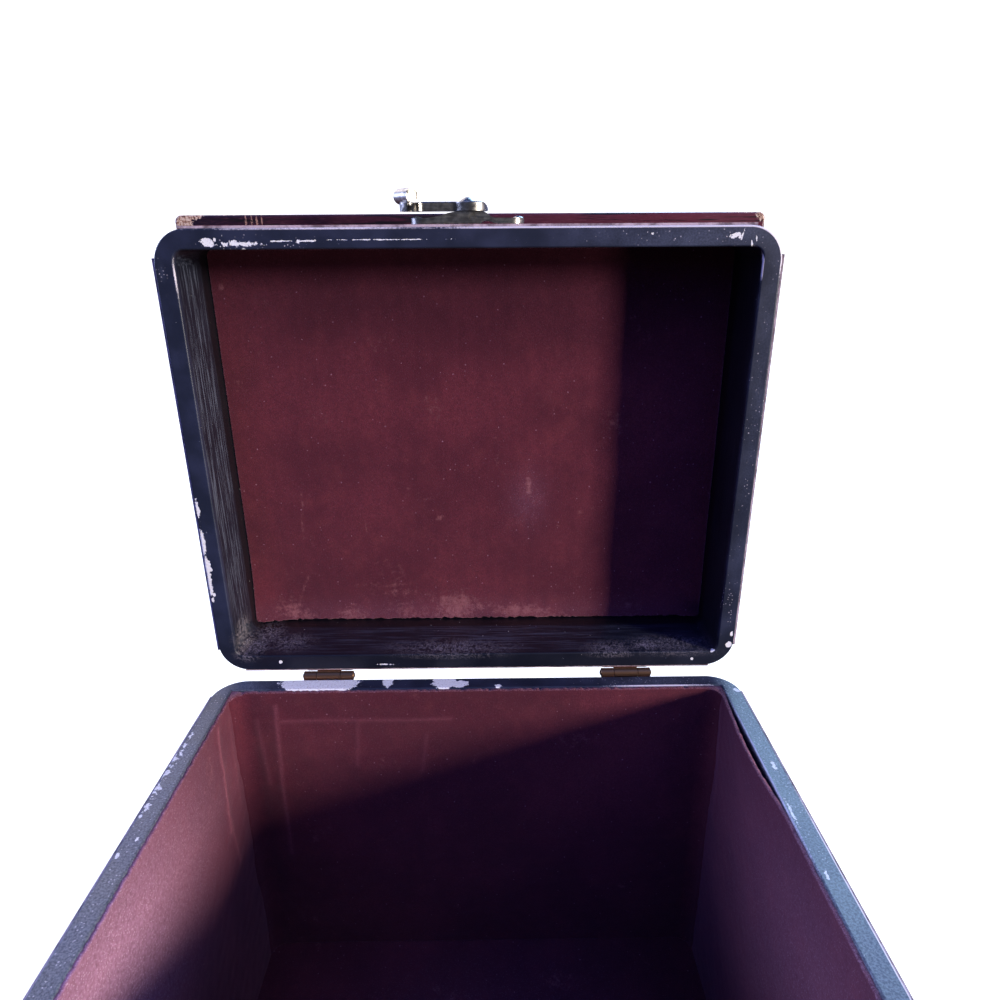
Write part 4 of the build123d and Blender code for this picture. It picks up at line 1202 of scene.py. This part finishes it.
@dataclass
class Clasp(SubAssembly):
    """The clasp: a saddle, its tacks and rivet and the hook on the lid, and the keeper on the front."""

    title: str = "clasp"
    finishes: tuple[tuple[Finish, tuple[str, ...]], ...] = (
        (PEWTER, ("clasp_saddle", "clasp_tacks", "clasp_rivet", "clasp_hook")),
        (PEWTER, ("keeper_plate", "keeper_stud", "keeper_tacks")),
    )


@dataclass
class Hinges(SubAssembly):
    """The two hinges: their leaves, pins and screws."""

    title: str = "hinges"
    finishes: tuple[tuple[Finish, tuple[str, ...]], ...] = (
        (BRASS, ("left_hinge_box_leaf", "left_hinge_lid_leaf", "left_hinge_pin")),
        (BRASS, ("right_hinge_box_leaf", "right_hinge_lid_leaf", "right_hinge_pin")),
        (BRASS, ("hinge_box_screws", "hinge_lid_screws")),
    )


@dataclass(frozen=True)
class Lamp:
    """A soft rectangular light: which way and how far it stands from MIDDLE, its sides, and its watts."""

    name: str
    towards: Triple
    distance: float
    sides: tuple[float, float]
    power: float
    tint: str
    mirrored: bool = True  # whether metal and gloss show it

    def build(self) -> None:
        """Makes the light, turned to the box."""
        light = bpy.data.lights.new(self.name, "AREA")
        light.shape = "RECTANGLE"
        light.size, light.size_y = self.sides
        light.energy = self.power
        light.color = linear(self.tint)[:3]
        holder = bpy.data.objects.new(self.name, light)
        bpy.context.scene.collection.objects.link(holder)
        holder.visible_glossy = self.mirrored
        way = Vector(self.towards).normalized()
        holder.location = MIDDLE + way * self.distance
        holder.rotation_euler = way.to_track_quat("Z", "Y").to_euler()


@dataclass
class Stage:
    """A round paper sweep, a tall window light from the right, and a pale sky behind and on the left."""

    floor: float = 2.2  # radius of the flat part
    bend: float = 1.2  # radius of the curve up to the wall
    wall: float = 4.0  # height
    hub: float = 0.02  # radius of the small middle polygon
    rise: float = 1.0  # of the roof's middle over the wall
    segments: int = 96
    low_room: str = "#474a5a"
    high_room: str = "#3f5fb4"
    lamps: tuple[Lamp, ...] = (
        Lamp("window", (0.837, -0.503, 0.213), 9.0, (1.1, 1.6), 1040.0, "#fff6ec"),
        Lamp("window_sky", (0.593, -0.385, 0.707), 6.0, (2.5, 2.5), 24.0, "#dfe6ff"),
        Lamp("window_low", (0.85, -0.52, -0.02), 9.0, (1.1, 1.0), 170.0, "#fff0e4"),
        Lamp("sky_left", (-0.42, 0.61, 0.66), 2.2, (1.2, 1.2), 12.5, "#fff5f0"),
        Lamp("sky_right", (0.40, 0.63, 0.67), 2.2, (1.2, 1.2), 34.0, "#b3ddff"),
        Lamp("sky_side", (-0.93, 0.22, 0.30), 2.5, (1.4, 1.0), 50.0, "#bcc8fa"),
        Lamp("room_fill", (-0.1, -0.75, 0.6), 3.0, (3.0, 3.0), 40.0, "#6472ff", False),
    )

    def sweep(self) -> None:
        """Makes the paper: a profile of floor, quarter round, wall and roof, turned once round Z."""
        flat = np.stack([np.linspace(self.hub, self.floor, 8), np.zeros(8)], -1)
        angle = np.linspace(0, math.pi / 2, 13)[1:]
        curve = np.stack([self.floor + self.bend * np.sin(angle), self.bend * (1 - np.cos(angle))], -1)
        roof = np.array([[self.floor + self.bend, self.wall], [self.hub, self.wall + self.rise]])
        profile = np.concatenate([flat, curve, roof])
        turn = np.linspace(0, 2 * math.pi, self.segments, endpoint=False)
        points = np.stack(
            [
                np.outer(profile[:, 0], np.cos(turn)),
                np.outer(profile[:, 0], np.sin(turn)),
                np.repeat(profile[:, 1:], self.segments, 1),
            ],
            -1,
        )
        ids = np.arange(points.shape[0] * self.segments).reshape(-1, self.segments)
        after = np.roll(ids, -1, 1)
        faces = np.stack([ids[:-1], after[:-1], after[1:], ids[1:]], -1).reshape(-1, 4).tolist()
        mesh = bpy.data.meshes.new("paper_sweep")
        middles = [ids[0, ::-1].tolist(), ids[-1].tolist()]
        mesh.from_pydata(points.reshape(-1, 3).tolist(), [], [*faces, *middles])
        mesh.polygons.foreach_set("use_smooth", np.ones(len(mesh.polygons), bool))
        mesh.materials.append(PaperSweep("seamless_paper").material())
        paper = bpy.data.objects.new("paper_sweep", mesh)
        bpy.context.scene.collection.objects.link(paper)
        paper.visible_diffuse = False
        paper.visible_glossy = False
        paper.visible_shadow = False

    def light(self) -> None:
        """Places the lamps, and a room that is a darkish grey below and a deep blue overhead."""
        for lamp in self.lamps:
            lamp.build()
        world = bpy.data.worlds.new("dim_room")
        world.use_nodes = True
        world.node_tree.nodes.clear()
        put = partial(add, world.node_tree)
        way = put("SeparateXYZ", put("TexCoord", out="Generated")).node.outputs
        lean = put("Math", way[1], 0.6, way[2], **TIMES_PLUS)
        tone = put("MixRGB", put("MapRange", lean, -0.3, 0.9, **SMOOTH), self.low_room, self.high_room)
        put("OutputWorld", put("Background", tone, 1.0))
        bpy.context.scene.world = world
        bpy.context.scene.view_settings.view_transform = "Standard"


@dataclass(frozen=True)
class PhotoCamera:
    """The camera that fits the photograph: millimetres, degrees, and pixels for the focal length."""

    place: Triple = (9.27, -187.79, 375.65)
    down: float = 20.354
    right_turn: float = 0.466
    roll: float = -0.366
    focal: float = 696.3
    picture: float = 1000.0  # the photograph's width in pixels
    sensor: float = 36.0

    def build(self) -> None:
        """Places the camera: it looks along Y, turned right, then down, then rolled about its own view."""
        lens = bpy.data.cameras.new("photo_camera")
        lens.sensor_width = self.sensor
        lens.lens = self.focal / self.picture * self.sensor
        lens.clip_start = 0.01
        camera = bpy.data.objects.new("photo_camera", lens)
        bpy.context.scene.collection.objects.link(camera)
        down, turn, roll = (math.radians(v) for v in (self.down, self.right_turn, self.roll))
        ahead = Vector((math.sin(turn) * math.cos(down), math.cos(turn) * math.cos(down), -math.sin(down)))
        level = Vector((math.cos(turn), -math.sin(turn), 0.0))
        rise = level.cross(ahead)
        right = level * math.cos(roll) + rise * math.sin(roll)
        upright = rise * math.cos(roll) - level * math.sin(roll)
        turned = Matrix((right, upright, -ahead)).transposed()
        camera.matrix_world = Matrix.Translation(Vector(self.place) * MM) @ turned.to_4x4()
        bpy.context.scene.camera = camera


def main() -> None:
    """Builds the camera, the stage and the sub-assemblies."""
    logging.basicConfig(level=logging.INFO, format="%(name)s: %(message)s")
    PhotoCamera().build()
    stage = Stage()
    stage.sweep()
    stage.light()
    for group in (Body(), Lid(), Clasp(), Hinges()):
        group.build()
        group.dress()


if __name__ == "__main__":
    main()
